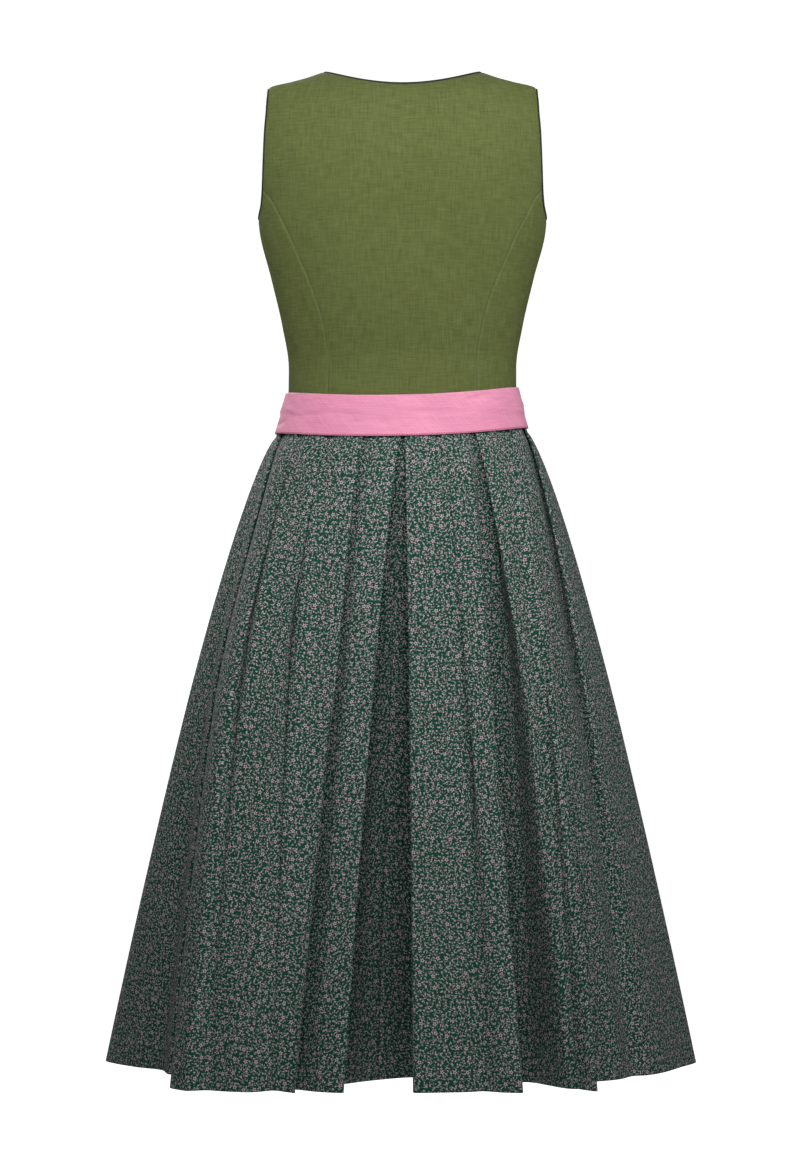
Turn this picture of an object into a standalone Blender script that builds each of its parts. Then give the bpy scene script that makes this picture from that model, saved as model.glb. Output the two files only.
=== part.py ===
"""A sleeveless dirndl dress in the hollow form that it has when it is worn.

Frame: metres, +Z up, the front of the dress faces -Y and the wearer's left is +X. The origin
is the middle of the shoulder line, where the wearer carries the dress. Heights in the tables
are measured up from the hem, and SHOULDER_HEIGHT takes them to the frame. An angle round the
body is 0 at the centre back, 90 degrees at the wearer's left side and 180 at the centre front.
"""
from collections import namedtuple
from math import asin, cos, pi, radians, sin

import bmesh
import bpy
import numpy as np

# ------------------------------------------------------------------ driving sizes
SHOULDER_HEIGHT = 1.040  # hem to the middle of the shoulder line
WAIST_SEAM = 0.685       # height of the seam between bodice and skirt
SEAM_GAP = 0.0004        # between two pieces that are sewn edge to edge
BODICE_WALL = 0.0018
SKIRT_WALL = 0.0012
SASH_WALL = 0.0015

UNDERARM = 0.892         # lowest point of the armhole
SHOULDER_TIP = 1.031     # outer end of the shoulder seam
NECK_POINT = 1.0476      # inner end of the shoulder seam
NECK_HALF_WIDTH = 0.085
BACK_NECK = 1.029        # neckline at the centre back
FRONT_NECK = 0.905       # neckline at the centre front
LAP = 0.010              # how far each front panel runs past the centre front
LAP_START = 0.005        # the upper front panel leaves the lower one this far past the lap
LAP_RAMP = 0.024         # and lies on the body from here
BUST_RISE = 0.011        # fullness that the front princess seams give
PIPING_RADIUS = 0.0011
PIPING_SIDES = 6
UNDER_LAP_END = 0.0035   # the neck piping stops this far before the upper front's edge

BUTTONS = 7
BUTTON_RADIUS = 0.0055
BUTTON_THICKNESS = 0.0024
BUTTON_PITCH = 0.027
BUTTON_SHANK = 0.0009    # the thread under a button
BUTTON_EDGE = 0.0009     # the slope round its rim
LOWEST_BUTTON = 0.726

LAYER = 0.0019           # from one layer of a pressed pleat to the next
RING_DEGREE = 0.0022     # one degree's length round the ring of pressed pleats
SPREAD = 0.77            # the skirt opens with the power SPREAD of the way down
LATE_FROM = 0.45         # above this share of the way down a fold is not yet all late or early
OUTWARD_SHARE = 0.3      # a late or early fold is only so far late or early in its depth
SOFTEST_TURN = 0.012     # how round the tightest fold is at the hem

# Bodice sections: half width, depth behind and before the side seam, and the seam's own Y.
Section = namedtuple("Section", "height half_width back front side_y")
BODY = [
    Section(0.680, 0.1238, 0.0930, 0.1060, -0.015),
    Section(0.703, 0.1214, 0.0912, 0.1042, -0.015),
    Section(0.735, 0.1210, 0.0900, 0.1030, -0.015),
    Section(0.780, 0.1279, 0.0960, 0.1085, -0.013),
    Section(0.830, 0.1395, 0.1020, 0.1140, -0.011),
    Section(0.881, 0.1520, 0.1050, 0.1140, -0.008),
    Section(0.917, 0.1550, 0.1060, 0.1120, -0.005),
    Section(0.950, 0.1590, 0.1040, 0.1040, -0.003),
    Section(0.980, 0.1600, 0.0960, 0.0900, -0.001),
    Section(1.005, 0.1570, 0.0850, 0.0750, 0.0),
    Section(1.020, 0.1490, 0.0740, 0.0630, 0.0),
    Section(1.031, 0.1414, 0.0620, 0.0520, 0.0),
    Section(1.036, 0.1220, 0.0560, 0.0460, 0.0),
    Section(1.0415, 0.1022, 0.0490, 0.0390, 0.0),
    Section(1.0476, 0.0850, 0.0400, 0.0300, 0.0),
]
ROUNDNESS = 2.2          # 2 is an ellipse, more is squarer

# The line from waist to armhole where the middle and side panels are sewn together.
SeamPoint = namedtuple("SeamPoint", "height x")
BACK_PRINCESS = [
    SeamPoint(0.685, 0.0785),
    SeamPoint(0.739, 0.0775),
    SeamPoint(0.774, 0.0823),
    SeamPoint(0.807, 0.0917),
    SeamPoint(0.843, 0.1064),
    SeamPoint(0.874, 0.1200),
    SeamPoint(0.906, 0.1368),
    SeamPoint(0.921, 0.1474),
]
FRONT_PRINCESS = [
    SeamPoint(0.685, 0.0720),
    SeamPoint(0.735, 0.0700),
    SeamPoint(0.780, 0.0740),
    SeamPoint(0.830, 0.0800),
    SeamPoint(0.865, 0.0880),
    SeamPoint(0.900, 0.1080),
    SeamPoint(0.930, 0.1290),
    SeamPoint(0.948, 0.1416),
]
# How far from the centre the armhole's edge lies, behind and before.
ArmholePoint = namedtuple("ArmholePoint", "height x_back x_front")
ARMHOLE = [
    ArmholePoint(0.892, 0.15311, 0.15311),
    ArmholePoint(0.905, 0.1492, 0.1480),
    ArmholePoint(0.921, 0.1474, 0.1448),
    ArmholePoint(0.948, 0.1460, 0.1416),
    ArmholePoint(0.980, 0.1444, 0.1392),
    ArmholePoint(1.005, 0.1424, 0.1390),
    ArmholePoint(1.020, 0.1418, 0.1400),
    ArmholePoint(1.031, 0.1414, 0.1414),
]

# The ring that the lowest layer of the pressed pleats follows, and the sash over it. The sash
# lies lowest at the centre back and front, and highest over the wearer's right hip.
Ring = namedtuple("Ring", "height half_width back front side_y")
PLEAT_RING = [
    Ring(0.656, 0.1323, 0.1024, 0.1154, -0.015),
    Ring(0.6845, 0.1235, 0.0930, 0.1060, -0.015),
]
SASH_CLEARANCE = 0.0010
SASH_HUG = 0.0006        # from the bodice to the upper edge of the sash
SASH_FOOT = 0.660        # heights of its two edges at the centre back
SASH_TOP = 0.703
SASH_RISE = 0.0085       # how much higher it lies at the sides
SASH_TILT = 0.0030       # and how much of that moves from the wearer's left to the right
SASH_TUCK = 12.0         # degrees of lap at the front
PLEATS_TOP = 0.6865      # above this the sash closes in on the bodice
SASH_CLOSED = 0.700
PLEATS_FREE = 0.656      # below this, at the centre back, the skirt is clear of the sash

# The skirt's folds in the order of the cloth, from the wearer's left side to the centre back
# and on to the right side. A fold turns the cloth from one pressed layer to the next, so its
# layer is a half. hem_x and hem_y place it at the hem. late bends its way down: above 1 it
# opens late, below 1 early.
Row = namedtuple("Row", "name fold waist_deg layer hem_x hem_y late")
LEFT_SEAM = Row("left seam", False, 86.5, 2.0, 0.3150, -0.008, 1.0)
BACK_LEFT = [
    Row("side swell", False, 83.0, 2.0, 0.280, 0.051, 0.85),
    Row("side hollow", False, 79.0, 2.0, 0.251, 0.078, 0.75),
    Row("pleat 1 edge", True, 74.5, 1.5, 0.240, 0.117, 0.70),
    Row("pleat 1 tuck", True, 82.5, 0.5, 0.219, 0.108, 0.70),
    Row("pleat 2 foot", False, 72.5, 0.0, 0.233, 0.230, 0.70),
    Row("pleat 2 rise", False, 65.5, 2.0, 0.226, 0.243, 0.70),
    Row("pleat 2 edge", True, 54.0, 1.5, 0.215, 0.254, 0.70),
    Row("pleat 2 tuck", True, 62.5, 0.5, 0.196, 0.249, 0.70),
    Row("pleat 3 foot", False, 52.0, 0.0, 0.182, 0.256, 0.70),
    Row("pleat 3 rise", False, 47.5, 2.0, 0.168, 0.262, 0.65),
    Row("pleat 3 edge", True, 36.0, 1.5, 0.150, 0.265, 0.65),
    Row("pleat 3 tuck", True, 44.5, 0.5, 0.132, 0.254, 0.70),
    Row("pleat 4 foot", False, 34.0, 0.0, 0.122, 0.257, 0.90),
    Row("pleat 4 rise", False, 28.0, 2.0, 0.114, 0.265, 1.15),
    Row("pleat 4 edge", True, 16.3, 1.5, 0.106, 0.270, 1.20),
    Row("pleat 4 tuck", True, 25.0, 0.5, 0.135, 0.228, 1.20),
    Row("pleat 5 foot", False, 14.3, 0.0, 0.106, 0.244, 1.20),
    Row("pleat 5 rise", False, 11.5, 2.0, 0.084, 0.262, 1.10),
    Row("pleat 5 edge", True, 1.2, 1.5, 0.059, 0.270, 1.05),
    Row("pleat 5 tuck", True, 9.0, 0.5, 0.092, 0.215, 1.05),
    Row("recess left", False, 4.0, 0.0, 0.057, 0.196, 1.05),
]
CENTRE_BACK = Row("centre seam", False, 0.0, 0.0, 0.025, 0.163, 1.05)
BACK_RIGHT = [
    Row("recess right", False, -4.0, 0.0, -0.010, 0.142, 1.05),
    Row("pleat 6 tuck", True, -9.0, 0.5, -0.034, 0.150, 1.0),
    Row("pleat 6 edge", True, -1.2, 1.5, -0.012, 0.270, 1.0),
    Row("pleat 6 fall", False, -11.5, 2.0, -0.045, 0.267, 1.0),
    Row("pleat 7 foot", False, -14.0, 0.0, -0.066, 0.263, 1.15),
    Row("pleat 7 tuck", True, -24.5, 0.5, -0.081, 0.257, 1.15),
    Row("pleat 7 edge", True, -16.0, 1.5, -0.099, 0.267, 1.15),
    Row("pleat 7 fall", False, -27.0, 2.0, -0.119, 0.270, 1.10),
    Row("pleat 8 foot", False, -31.5, 0.0, -0.104, 0.195, 0.95),
    Row("pleat 8 tuck", True, -42.0, 0.5, -0.126, 0.182, 0.85),
    Row("pleat 8 edge", True, -33.5, 1.5, -0.161, 0.230, 0.80),
    Row("pleat 8 fall", False, -44.5, 2.0, -0.167, 0.237, 0.85),
    Row("pleat 9 foot", False, -56.0, 0.0, -0.171, 0.238, 0.95),
    Row("pleat 9 tuck", True, -66.5, 0.5, -0.176, 0.239, 0.95),
    Row("pleat 9 edge", True, -58.0, 1.5, -0.184, 0.249, 0.95),
    Row("pleat 9 fall", False, -69.0, 2.0, -0.194, 0.257, 1.0),
    Row("side recess", False, -75.0, 1.0, -0.180, 0.196, 1.0),
    Row("pleat 10 foot", False, -80.5, 0.0, -0.222, 0.158, 1.0),
    Row("pleat 10 tuck", True, -91.0, 0.5, -0.238, 0.130, 1.0),
    Row("pleat 10 edge", True, -82.0, 1.5, -0.252, 0.124, 1.0),
    Row("side fall", False, -88.5, 2.0, -0.293, 0.050, 1.0),
]
RIGHT_SEAM = Row("right seam", False, -93.5, 2.0, -0.3105, 0.003, 1.0)
FOLD_SHARE = 0.10        # part of the way to the next row that a fold's turn takes
SKIRT_ROWS = [0.6845, 0.656, 0.633, 0.600, 0.540, 0.440, 0.310, 0.160, 0.0]
LEVEL_BELOW = 0.250      # from here down the rows no longer follow the sash's rise
SMALL_STEP = 0.004       # over which the skirt's slope is felt, in metres and in row steps
SEAM_STEP = 0.02         # from a width's end, in row steps, to feel how the cloth runs there
LONG_RUN = 0.050         # a longer run of hem between two folds has two columns inside it

# Colours are linear red, green, blue.
OLIVE_LINEN = (0.135, 0.165, 0.066)
PINK_SASH = (0.82, 0.31, 0.46)
DARK_PIPING = (0.025, 0.025, 0.022)
GREEN_PRINT = (0.075, 0.107, 0.098)
HORN_BUTTON = (0.060, 0.055, 0.035)


# ------------------------------------------------------------------ curves
def steady(table, column, at):
    """A column of a table read at a height, as a cubic that never overshoots its rows."""
    x = [row.height for row in table]
    y = [getattr(row, column) for row in table]
    at = min(max(at, x[0]), x[-1])
    slopes = [(y[i + 1] - y[i]) / (x[i + 1] - x[i]) for i in range(len(x) - 1)]
    i = max(k for k in range(len(slopes)) if x[k] <= at)

    def tangent(k):
        if k == 0 or k == len(slopes):
            return slopes[min(k, len(slopes) - 1)]
        before, after = slopes[k - 1], slopes[k]
        if before * after <= 0.0:
            return 0.0
        return 2.0 * before * after / (before + after)

    step = x[i + 1] - x[i]
    t = (at - x[i]) / step
    rise = (3.0 - 2.0 * t) * t * t
    lead_in = t * (1.0 - t) ** 2 * step * tangent(i)
    lead_out = t * t * (t - 1.0) * step * tangent(i + 1)
    return y[i] + rise * (y[i + 1] - y[i]) + lead_in + lead_out


def smooth(start, end, at):
    """0 before start, 1 after end, and an even climb between them."""
    t = min(max((at - start) / (end - start), 0.0), 1.0)
    return t * t * (3.0 - 2.0 * t)


def power(value, exponent):
    """A signed power."""
    return abs(value) ** exponent if value >= 0.0 else -abs(value) ** exponent


def oval(table, angle, height):
    """A point of a ring: angle 0 is the centre back, a quarter turn the wearer's left."""
    half_width = steady(table, "half_width", height)
    depth = steady(table, "back" if cos(angle) >= 0.0 else "front", height)
    x = half_width * power(sin(angle), 2.0 / ROUNDNESS)
    y = steady(table, "side_y", height) + depth * power(cos(angle), 2.0 / ROUNDNESS)
    return np.array([x, y, height - SHOULDER_HEIGHT])


# ------------------------------------------------------------------ the bodice's surface
def bust(x, height):
    """How far the front stands forward where the princess seams shape it."""
    across = (abs(x) - 0.072) / 0.045
    up = (height - 0.862) / 0.050
    return BUST_RISE * np.exp(-across * across - up * up)


def body_point(angle, height):
    point = oval(BODY, angle, height)
    if cos(angle) < 0.0:
        point[1] -= bust(point[0], height) * smooth(0.0, 0.35, -cos(angle))
    return point


def body_normal(angle, height):
    """The outward direction, from points a little to each side."""
    turn, climb = 0.012, 0.0008
    high = min(height + climb, NECK_POINT)
    across = body_point(angle + turn, height) - body_point(angle - turn, height)
    up = body_point(angle, high) - body_point(angle, high - 2.0 * climb)
    normal = np.cross(up, across)
    return normal / np.linalg.norm(normal)


def body_angle(x, height, front):
    """The angle at which the surface passes a distance from the centre line."""
    share = min(abs(x) / steady(BODY, "half_width", height), 1.0)
    angle = asin(share ** (ROUNDNESS / 2.0))
    depth = steady(BODY, "front" if front else "back", height)
    angle = min(angle, pi / 2.0 - SEAM_GAP / 2.0 / depth)
    angle = angle if x >= 0.0 else -angle
    return pi - angle if front else angle


# ------------------------------------------------------------------ panel outlines, as (x, height)
def armhole_edge(share, front):
    """The armhole from the underarm, 0, to the tip of the shoulder, 1."""
    height = UNDERARM + (SHOULDER_TIP - UNDERARM) * (1.0 - cos(pi * share)) / 2.0
    return steady(ARMHOLE, "x_front" if front else "x_back", height), height


def armhole_share(height):
    """The inverse of armhole_edge."""
    rise = (height - UNDERARM) / (SHOULDER_TIP - UNDERARM)
    return np.arccos(1.0 - 2.0 * rise) / pi


def shoulder_edge(share):
    """The shoulder seam from the neck point, 0, to the tip, 1."""
    height = NECK_POINT + (SHOULDER_TIP - NECK_POINT) * share
    return steady(BODY, "half_width", height), height


def back_neck_edge(share):
    """The back neckline from the centre, 0, to the neck point, 1."""
    x = NECK_HALF_WIDTH * share
    return x, BACK_NECK + (NECK_POINT - BACK_NECK) * share * share


def front_neck_edge(share):
    """The front neckline from the centre, 0, to the neck point, 1: a rounded scoop."""
    turn = share * pi / 2.0
    x = NECK_HALF_WIDTH * sin(turn) ** 0.9
    return x, NECK_POINT - (NECK_POINT - FRONT_NECK) * cos(turn) ** 0.8


def princess_edge(share, table, shift):
    height = WAIST_SEAM + (table[-1].height - WAIST_SEAM) * share
    return steady(table, "x", height) + shift, height


PRINCESS_ROWS = 11       # rows of faces up a princess seam
ARMHOLE_ROWS = 8         # rows of faces up the armhole, above that seam
UNDERARM_COLUMNS = 5     # columns of faces round the underarm, below that seam
NECK_COLUMNS = 6         # columns of faces along half of the back neckline
SHOULDER_COLUMNS = 3
FRONT_COLUMNS = 9        # columns of points across a middle front panel
CLOSURE_ROWS = 8         # rows of faces up the centre front, below the neckline


def armhole_shares(front):
    """Where the panels have points round the armhole: below the princess seam, and above."""
    start = armhole_share((FRONT_PRINCESS if front else BACK_PRINCESS)[-1].height)
    below = [start * i / UNDERARM_COLUMNS for i in range(UNDERARM_COLUMNS)]
    above = [start + (1.0 - start) * i / ARMHOLE_ROWS for i in range(ARMHOLE_ROWS + 1)]
    return below, above


def outer_edge(front):
    """The outer edge of a middle panel: princess seam, then armhole, up to the shoulder."""
    table = FRONT_PRINCESS if front else BACK_PRINCESS
    points = [princess_edge(i / PRINCESS_ROWS, table, -SEAM_GAP / 2.0)
              for i in range(PRINCESS_ROWS)]
    points += [armhole_edge(share, front) for share in armhole_shares(front)[1]]
    return np.array(points)


def blend(left, right, bottom, top):
    """A grid inside four edges, each a list of (x, height) points: a Coons patch."""
    rows, cols = len(left), len(bottom)
    grid = np.zeros((rows, cols, 2))
    for i in range(rows):
        v = i / (rows - 1.0)
        for j in range(cols):
            u = j / (cols - 1.0)
            sides = (1.0 - u) * left[i] + u * right[i]
            ends = (1.0 - v) * bottom[j] + v * top[j]
            low = (1.0 - u) * left[0] + u * right[0]
            high = (1.0 - u) * left[-1] + u * right[-1]
            grid[i, j] = sides + ends - (1.0 - v) * low - v * high
    return grid


def lift(grid, front, side, raised=None):
    """Points and normals on the body for a grid of (x, height); side is 1 or -1."""
    shape = grid.shape[:2] + (3,)
    points, normals = np.zeros(shape), np.zeros(shape)
    for index in np.ndindex(grid.shape[:2]):
        x, height = grid[index]
        angle = body_angle(x, height, front)
        points[index] = body_point(angle, height)
        normals[index] = body_normal(angle, height)
        if raised:
            points[index] += normals[index] * raised(x)
    mirror = np.array([side, 1.0, 1.0])
    return points * mirror, normals * mirror


# ------------------------------------------------------------------ mesh helpers
def material(name, colour, roughness):
    made = bpy.data.materials.new(name)
    made.use_nodes = True
    shader = made.node_tree.nodes["Principled BSDF"]
    shader.inputs["Base Color"].default_value = (*colour, 1.0)
    shader.inputs["Roughness"].default_value = roughness
    shader.inputs["Metallic"].default_value = 0.0
    return made


def finish(bm, name, stuff):
    """Turn a closed bmesh into a named object whose faces point out."""
    bmesh.ops.recalc_face_normals(bm, faces=bm.faces)
    mesh = bpy.data.meshes.new(name)
    bm.to_mesh(mesh)
    bm.free()
    mesh.materials.append(stuff)
    mesh.shade_smooth()
    mesh.set_sharp_from_angle(angle=radians(50.0))
    made = bpy.data.objects.new(name, mesh)
    bpy.context.scene.collection.objects.link(made)
    return made


def wall(name, outer, inner, stuff, ring=False):
    """A closed sheet between two grids of points; ring joins the last column to the first."""
    bm = bmesh.new()
    rows, cols = outer.shape[:2]
    sheets = [[[bm.verts.new(point) for point in row] for row in grid]
              for grid in (outer, inner)]
    spans = cols if ring else cols - 1
    for i in range(rows - 1):
        for j in range(spans):
            k = (j + 1) % cols
            for sheet in sheets:
                bm.faces.new((sheet[i][j], sheet[i][k], sheet[i + 1][k], sheet[i + 1][j]))
    out, back = sheets
    for i in (0, rows - 1):
        for j in range(spans):
            k = (j + 1) % cols
            bm.faces.new((out[i][j], out[i][k], back[i][k], back[i][j]))
    if not ring:
        for j in (0, cols - 1):
            for i in range(rows - 1):
                bm.faces.new((out[i][j], out[i + 1][j], back[i + 1][j], back[i][j]))
    return finish(bm, name, stuff)


def circle_round(centre, across, up):
    """The places round a cord at one of its centres."""
    turns = [2.0 * pi * side / PIPING_SIDES for side in range(PIPING_SIDES)]
    return [centre + PIPING_RADIUS * (cos(turn) * across + sin(turn) * up) for turn in turns]


def tube(name, centres, ups, stuff, ring):
    """A round cord; ups are directions that keep its rings from twisting."""
    bm = bmesh.new()
    count = len(centres)
    loops = []
    for i in range(count):
        before = centres[i - 1] if ring or i else centres[0]
        after = centres[(i + 1) % count] if ring or i < count - 1 else centres[-1]
        along = (after - before) / np.linalg.norm(after - before)
        across = np.cross(along, ups[i])
        across /= np.linalg.norm(across)
        places = circle_round(centres[i], across, np.cross(across, along))
        loops.append([bm.verts.new(place) for place in places])
    for i in range(count if ring else count - 1):
        here, there = loops[i], loops[(i + 1) % count]
        for s in range(PIPING_SIDES):
            t = (s + 1) % PIPING_SIDES
            bm.faces.new((here[s], here[t], there[t], there[s]))
    if not ring:
        bm.faces.new(loops[0])
        bm.faces.new(loops[-1])
    return finish(bm, name, stuff)


# ------------------------------------------------------------------ bodice panels
def back_centre(stuff):
    """The middle back, in one piece from princess seam to princess seam."""
    half, neck = NECK_COLUMNS + SHOULDER_COLUMNS, NECK_COLUMNS
    right = outer_edge(front=False)
    rows = len(right)
    left = np.array([(0.0, WAIST_SEAM + (BACK_NECK - WAIST_SEAM) * (i / (rows - 1.0)) ** 0.85)
                     for i in range(rows)])
    bottom = np.array([(right[0][0] * j / half, WAIST_SEAM) for j in range(half + 1)])
    top = [back_neck_edge(j / neck) for j in range(neck)]
    top += [shoulder_edge(j / (half - neck)) for j in range(half - neck + 1)]
    grid = blend(left, right, bottom, np.array(top))
    points, normals = lift(grid, False, 1)
    other_points, other_normals = lift(grid[:, :0:-1], False, -1)
    points = np.concatenate([other_points, points], axis=1)
    normals = np.concatenate([other_normals, normals], axis=1)
    wall("bodice_back_centre", points, points - normals * BODICE_WALL, stuff)


def over_lap(x):
    """How far the upper front panel is raised over the lower one."""
    height = BODICE_WALL + 2.0 * SEAM_GAP
    return height * (1.0 - smooth(LAP + LAP_START, LAP + LAP_RAMP, x))


def front_neck_rows():
    """The front neckline of one panel from its lapped end to the neck point."""
    steps = PRINCESS_ROWS + ARMHOLE_ROWS - CLOSURE_ROWS
    points = [front_neck_edge(i / steps) for i in range(1, steps + 1)]
    return [(-LAP, FRONT_NECK)] + points


def front_centre(name, side, stuff):
    """A middle front panel; the wearer's right one laps over the left."""
    cols, below = FRONT_COLUMNS, CLOSURE_ROWS
    right = outer_edge(front=True)
    left = [(-LAP, WAIST_SEAM + (FRONT_NECK - WAIST_SEAM) * i / below) for i in range(below)]
    left = np.array(left + front_neck_rows())
    bottom = [(-LAP + (right[0][0] + LAP) * j / (cols - 1), WAIST_SEAM) for j in range(cols)]
    top = [shoulder_edge(j / (cols - 1)) for j in range(cols)]
    grid = blend(left, right, np.array(bottom), np.array(top))
    raised = over_lap if side < 0 else None
    points, normals = lift(grid, True, side, raised)
    wall(name, points, points - normals * BODICE_WALL, stuff)


def side_panel(name, front, side, stuff):
    """From a princess seam to the side seam, with the bottom of the armhole on top."""
    cols = UNDERARM_COLUMNS
    table = FRONT_PRINCESS if front else BACK_PRINCESS
    corner = armhole_share(table[-1].height)
    points = np.zeros((PRINCESS_ROWS + 1, cols + 1, 3))
    normals = np.zeros_like(points)
    for i in range(PRINCESS_ROWS + 1):
        v = i / PRINCESS_ROWS
        x, seam_height = princess_edge(v, table, SEAM_GAP / 2.0)
        start = body_angle(x, seam_height, front)
        limit = body_angle(1.0, seam_height, front)
        for j in range(cols + 1):
            u = j / cols
            top_x, top_height = armhole_edge(corner * (1.0 - u), front)
            side_height = WAIST_SEAM + (UNDERARM - WAIST_SEAM) * v
            even = (1.0 - u) * seam_height + u * side_height
            ruled_top = (1.0 - u) * table[-1].height + u * UNDERARM
            height = even + v * (top_height - ruled_top)
            edge_angle = body_angle(top_x, top_height, front)
            ruled_angle = start + (limit - start) * u
            corner_angle = body_angle(table[-1].x + SEAM_GAP / 2.0, table[-1].height, front)
            bend = edge_angle - (corner_angle + (limit - corner_angle) * u)
            angle = ruled_angle + bend * v ** 3
            points[i, j] = body_point(angle, height)
            normals[i, j] = body_normal(angle, height)
    mirror = np.array([side, 1.0, 1.0])
    points, normals = points * mirror, normals * mirror
    wall(name, points, points - normals * BODICE_WALL, stuff)


# ------------------------------------------------------------------ piping
def middle_of_edge(edge, front, side, raised=0.0):
    """The middle of the cloth's thickness at an edge point, and the cloth's normal there."""
    x, height = edge
    angle = body_angle(x, height, front)
    normal = body_normal(angle, height)
    mirror = np.array([side, 1.0, 1.0])
    point = (body_point(angle, height) + normal * (raised - BODICE_WALL / 2.0)) * mirror
    return point, normal * mirror


def run_beside(points, normals, ring, turn):
    """Move a run of edge points off the cloth by gap and radius; turn is 1 or -1, the side."""
    moved = []
    step = PIPING_RADIUS + SEAM_GAP
    count = len(points)
    for i in range(count):
        before = points[i - 1] if ring or i else points[0]
        after = points[(i + 1) % count] if ring or i < count - 1 else points[-1]
        along = after - before
        away = np.cross(along, normals[i])
        away /= np.linalg.norm(away)
        moved.append(points[i] + away * step * turn)
    return moved


def armhole_piping(name, side, stuff):
    """Round the armhole, up its back edge and down its front edge."""
    back, ahead = sum(armhole_shares(False), []), sum(armhole_shares(True), [])
    edges = [(armhole_edge(share, False), False) for share in back]
    edges += [(armhole_edge(share, True), True) for share in ahead[-2:0:-1]]
    found = [middle_of_edge(edge, front, side) for edge, front in edges]
    points = [entry[0] for entry in found]
    normals = [entry[1] for entry in found]
    centres = run_beside(points, normals, True, -side)
    tube(name, centres, normals, stuff, ring=True)


def neck_piping(stuff):
    """From the end of the upper lap, round the neck, to just short of that end again."""
    neck = NECK_COLUMNS
    upper = front_neck_rows()
    share = (2.0 * LAP + UNDER_LAP_END) / (upper[1][0] - upper[0][0])
    start_height = upper[0][1] + share * (upper[1][1] - upper[0][1])
    lower = [(LAP + UNDER_LAP_END, start_height)] + upper[1:]
    behind = [back_neck_edge(i / neck) for i in range(neck + 1)]
    found = [middle_of_edge(edge, True, -1, over_lap(edge[0])) for edge in upper[:-1]]
    found += [middle_of_edge(edge, False, -1) for edge in behind[:0:-1]]
    found += [middle_of_edge(edge, False, 1) for edge in behind[:-1]]
    found += [middle_of_edge(edge, True, 1) for edge in reversed(lower)]
    points = [entry[0] for entry in found]
    normals = [entry[1] for entry in found]
    centres = run_beside(points, normals, False, 1)
    tube("neck_piping", centres, normals, stuff, ring=False)


# ------------------------------------------------------------------ buttons
def button(name, height, stuff):
    """A small domed disc on the upper lap at the centre front."""
    seat = body_point(pi, height)
    outward = body_normal(pi, height)
    bm = bmesh.new()
    bmesh.ops.create_cone(bm, cap_ends=True, segments=16, radius1=BUTTON_RADIUS,
                          radius2=BUTTON_RADIUS, depth=BUTTON_THICKNESS)
    rim = [edge for edge in bm.edges if all(v.co.z > 0.0 for v in edge.verts)]
    bmesh.ops.bevel(bm, geom=rim, offset=BUTTON_EDGE, offset_type="OFFSET", affect="EDGES",
                    segments=1, profile=0.5, material=-1, clamp_overlap=True)
    made = finish(bm, name, stuff)
    lift_off = over_lap(0.0) + BUTTON_SHANK + BUTTON_THICKNESS / 2.0
    made.location = seat + outward * lift_off
    made.rotation_euler = (pi / 2.0 - asin(outward[2]), 0.0, 0.0)


# ------------------------------------------------------------------ sash
def ring_outward(angle, height):
    """The level direction that points straight out of the ring of pleats."""
    along = oval(PLEAT_RING, angle + 0.02, height) - oval(PLEAT_RING, angle - 0.02, height)
    return np.array([-along[1], along[0]]) / np.linalg.norm(along)


def sash_rise(angle):
    """How much higher the sash lies than it does at the centre back."""
    return SASH_RISE * sin(angle) ** 2 - SASH_TILT * sin(angle)


def sash_inside(angle, height):
    """The sash's inner face: over the pleats below, closing in on the bodice above."""
    over_pleats = oval(PLEAT_RING, angle, height)
    over_pleats[2] = height - SHOULDER_HEIGHT
    outward = np.append(ring_outward(angle, height), 0.0)
    stack = 2.0 * LAYER + SKIRT_WALL / 2.0 + SASH_CLEARANCE
    on_bodice = oval(BODY, angle, height)
    over_front = over_lap(abs(on_bodice[0])) if cos(angle) < 0.0 else 0.0
    on_bodice = on_bodice + outward * (SASH_HUG + over_front)
    closed = smooth(PLEATS_TOP, SASH_CLOSED, height)
    inside = (1.0 - closed) * (over_pleats + outward * stack) + closed * on_bodice
    return inside, outward


def sash(stuff):
    """One strip round the waist, its end lapped over its start at the centre front."""
    cols, rows = 72, 4
    lap_starts, lap_ends = cols * 0.90, cols * 0.955
    start, sweep = radians(-180.0 - SASH_TUCK / 2.0), radians(360.0 + SASH_TUCK)
    outer = np.zeros((rows + 1, cols + 1, 3))
    inner = np.zeros_like(outer)
    for j in range(cols + 1):
        angle = start + sweep * j / cols
        lapped = (SASH_WALL + 2.0 * SEAM_GAP) * smooth(lap_starts, lap_ends, j)
        for i in range(rows + 1):
            height = SASH_FOOT + sash_rise(angle) + (SASH_TOP - SASH_FOOT) * i / rows
            inside, outward = sash_inside(angle, height)
            inner[i, j] = inside + outward * lapped
            outer[i, j] = inside + outward * (lapped + SASH_WALL)
    wall("waist_sash", outer, inner, stuff)


# ------------------------------------------------------------------ skirt
def turned(rows):
    """The same folds turned half round, for the front."""
    return [row._replace(waist_deg=row.waist_deg - 180.0, hem_x=-row.hem_x,
                         hem_y=-row.hem_y) for row in rows]


def full_circle():
    """Every row of the skirt in the order of the cloth, and where each width ends."""
    centre_front = turned([CENTRE_BACK])
    rows = [LEFT_SEAM] + BACK_LEFT + [CENTRE_BACK] + BACK_RIGHT + [RIGHT_SEAM]
    rows += turned(BACK_LEFT) + centre_front + turned(BACK_RIGHT)
    rows += [LEFT_SEAM._replace(waist_deg=LEFT_SEAM.waist_deg - 360.0)]
    width = len(BACK_LEFT) + 1
    return rows, [0, width, 2 * width, 3 * width, 4 * width]


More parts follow.
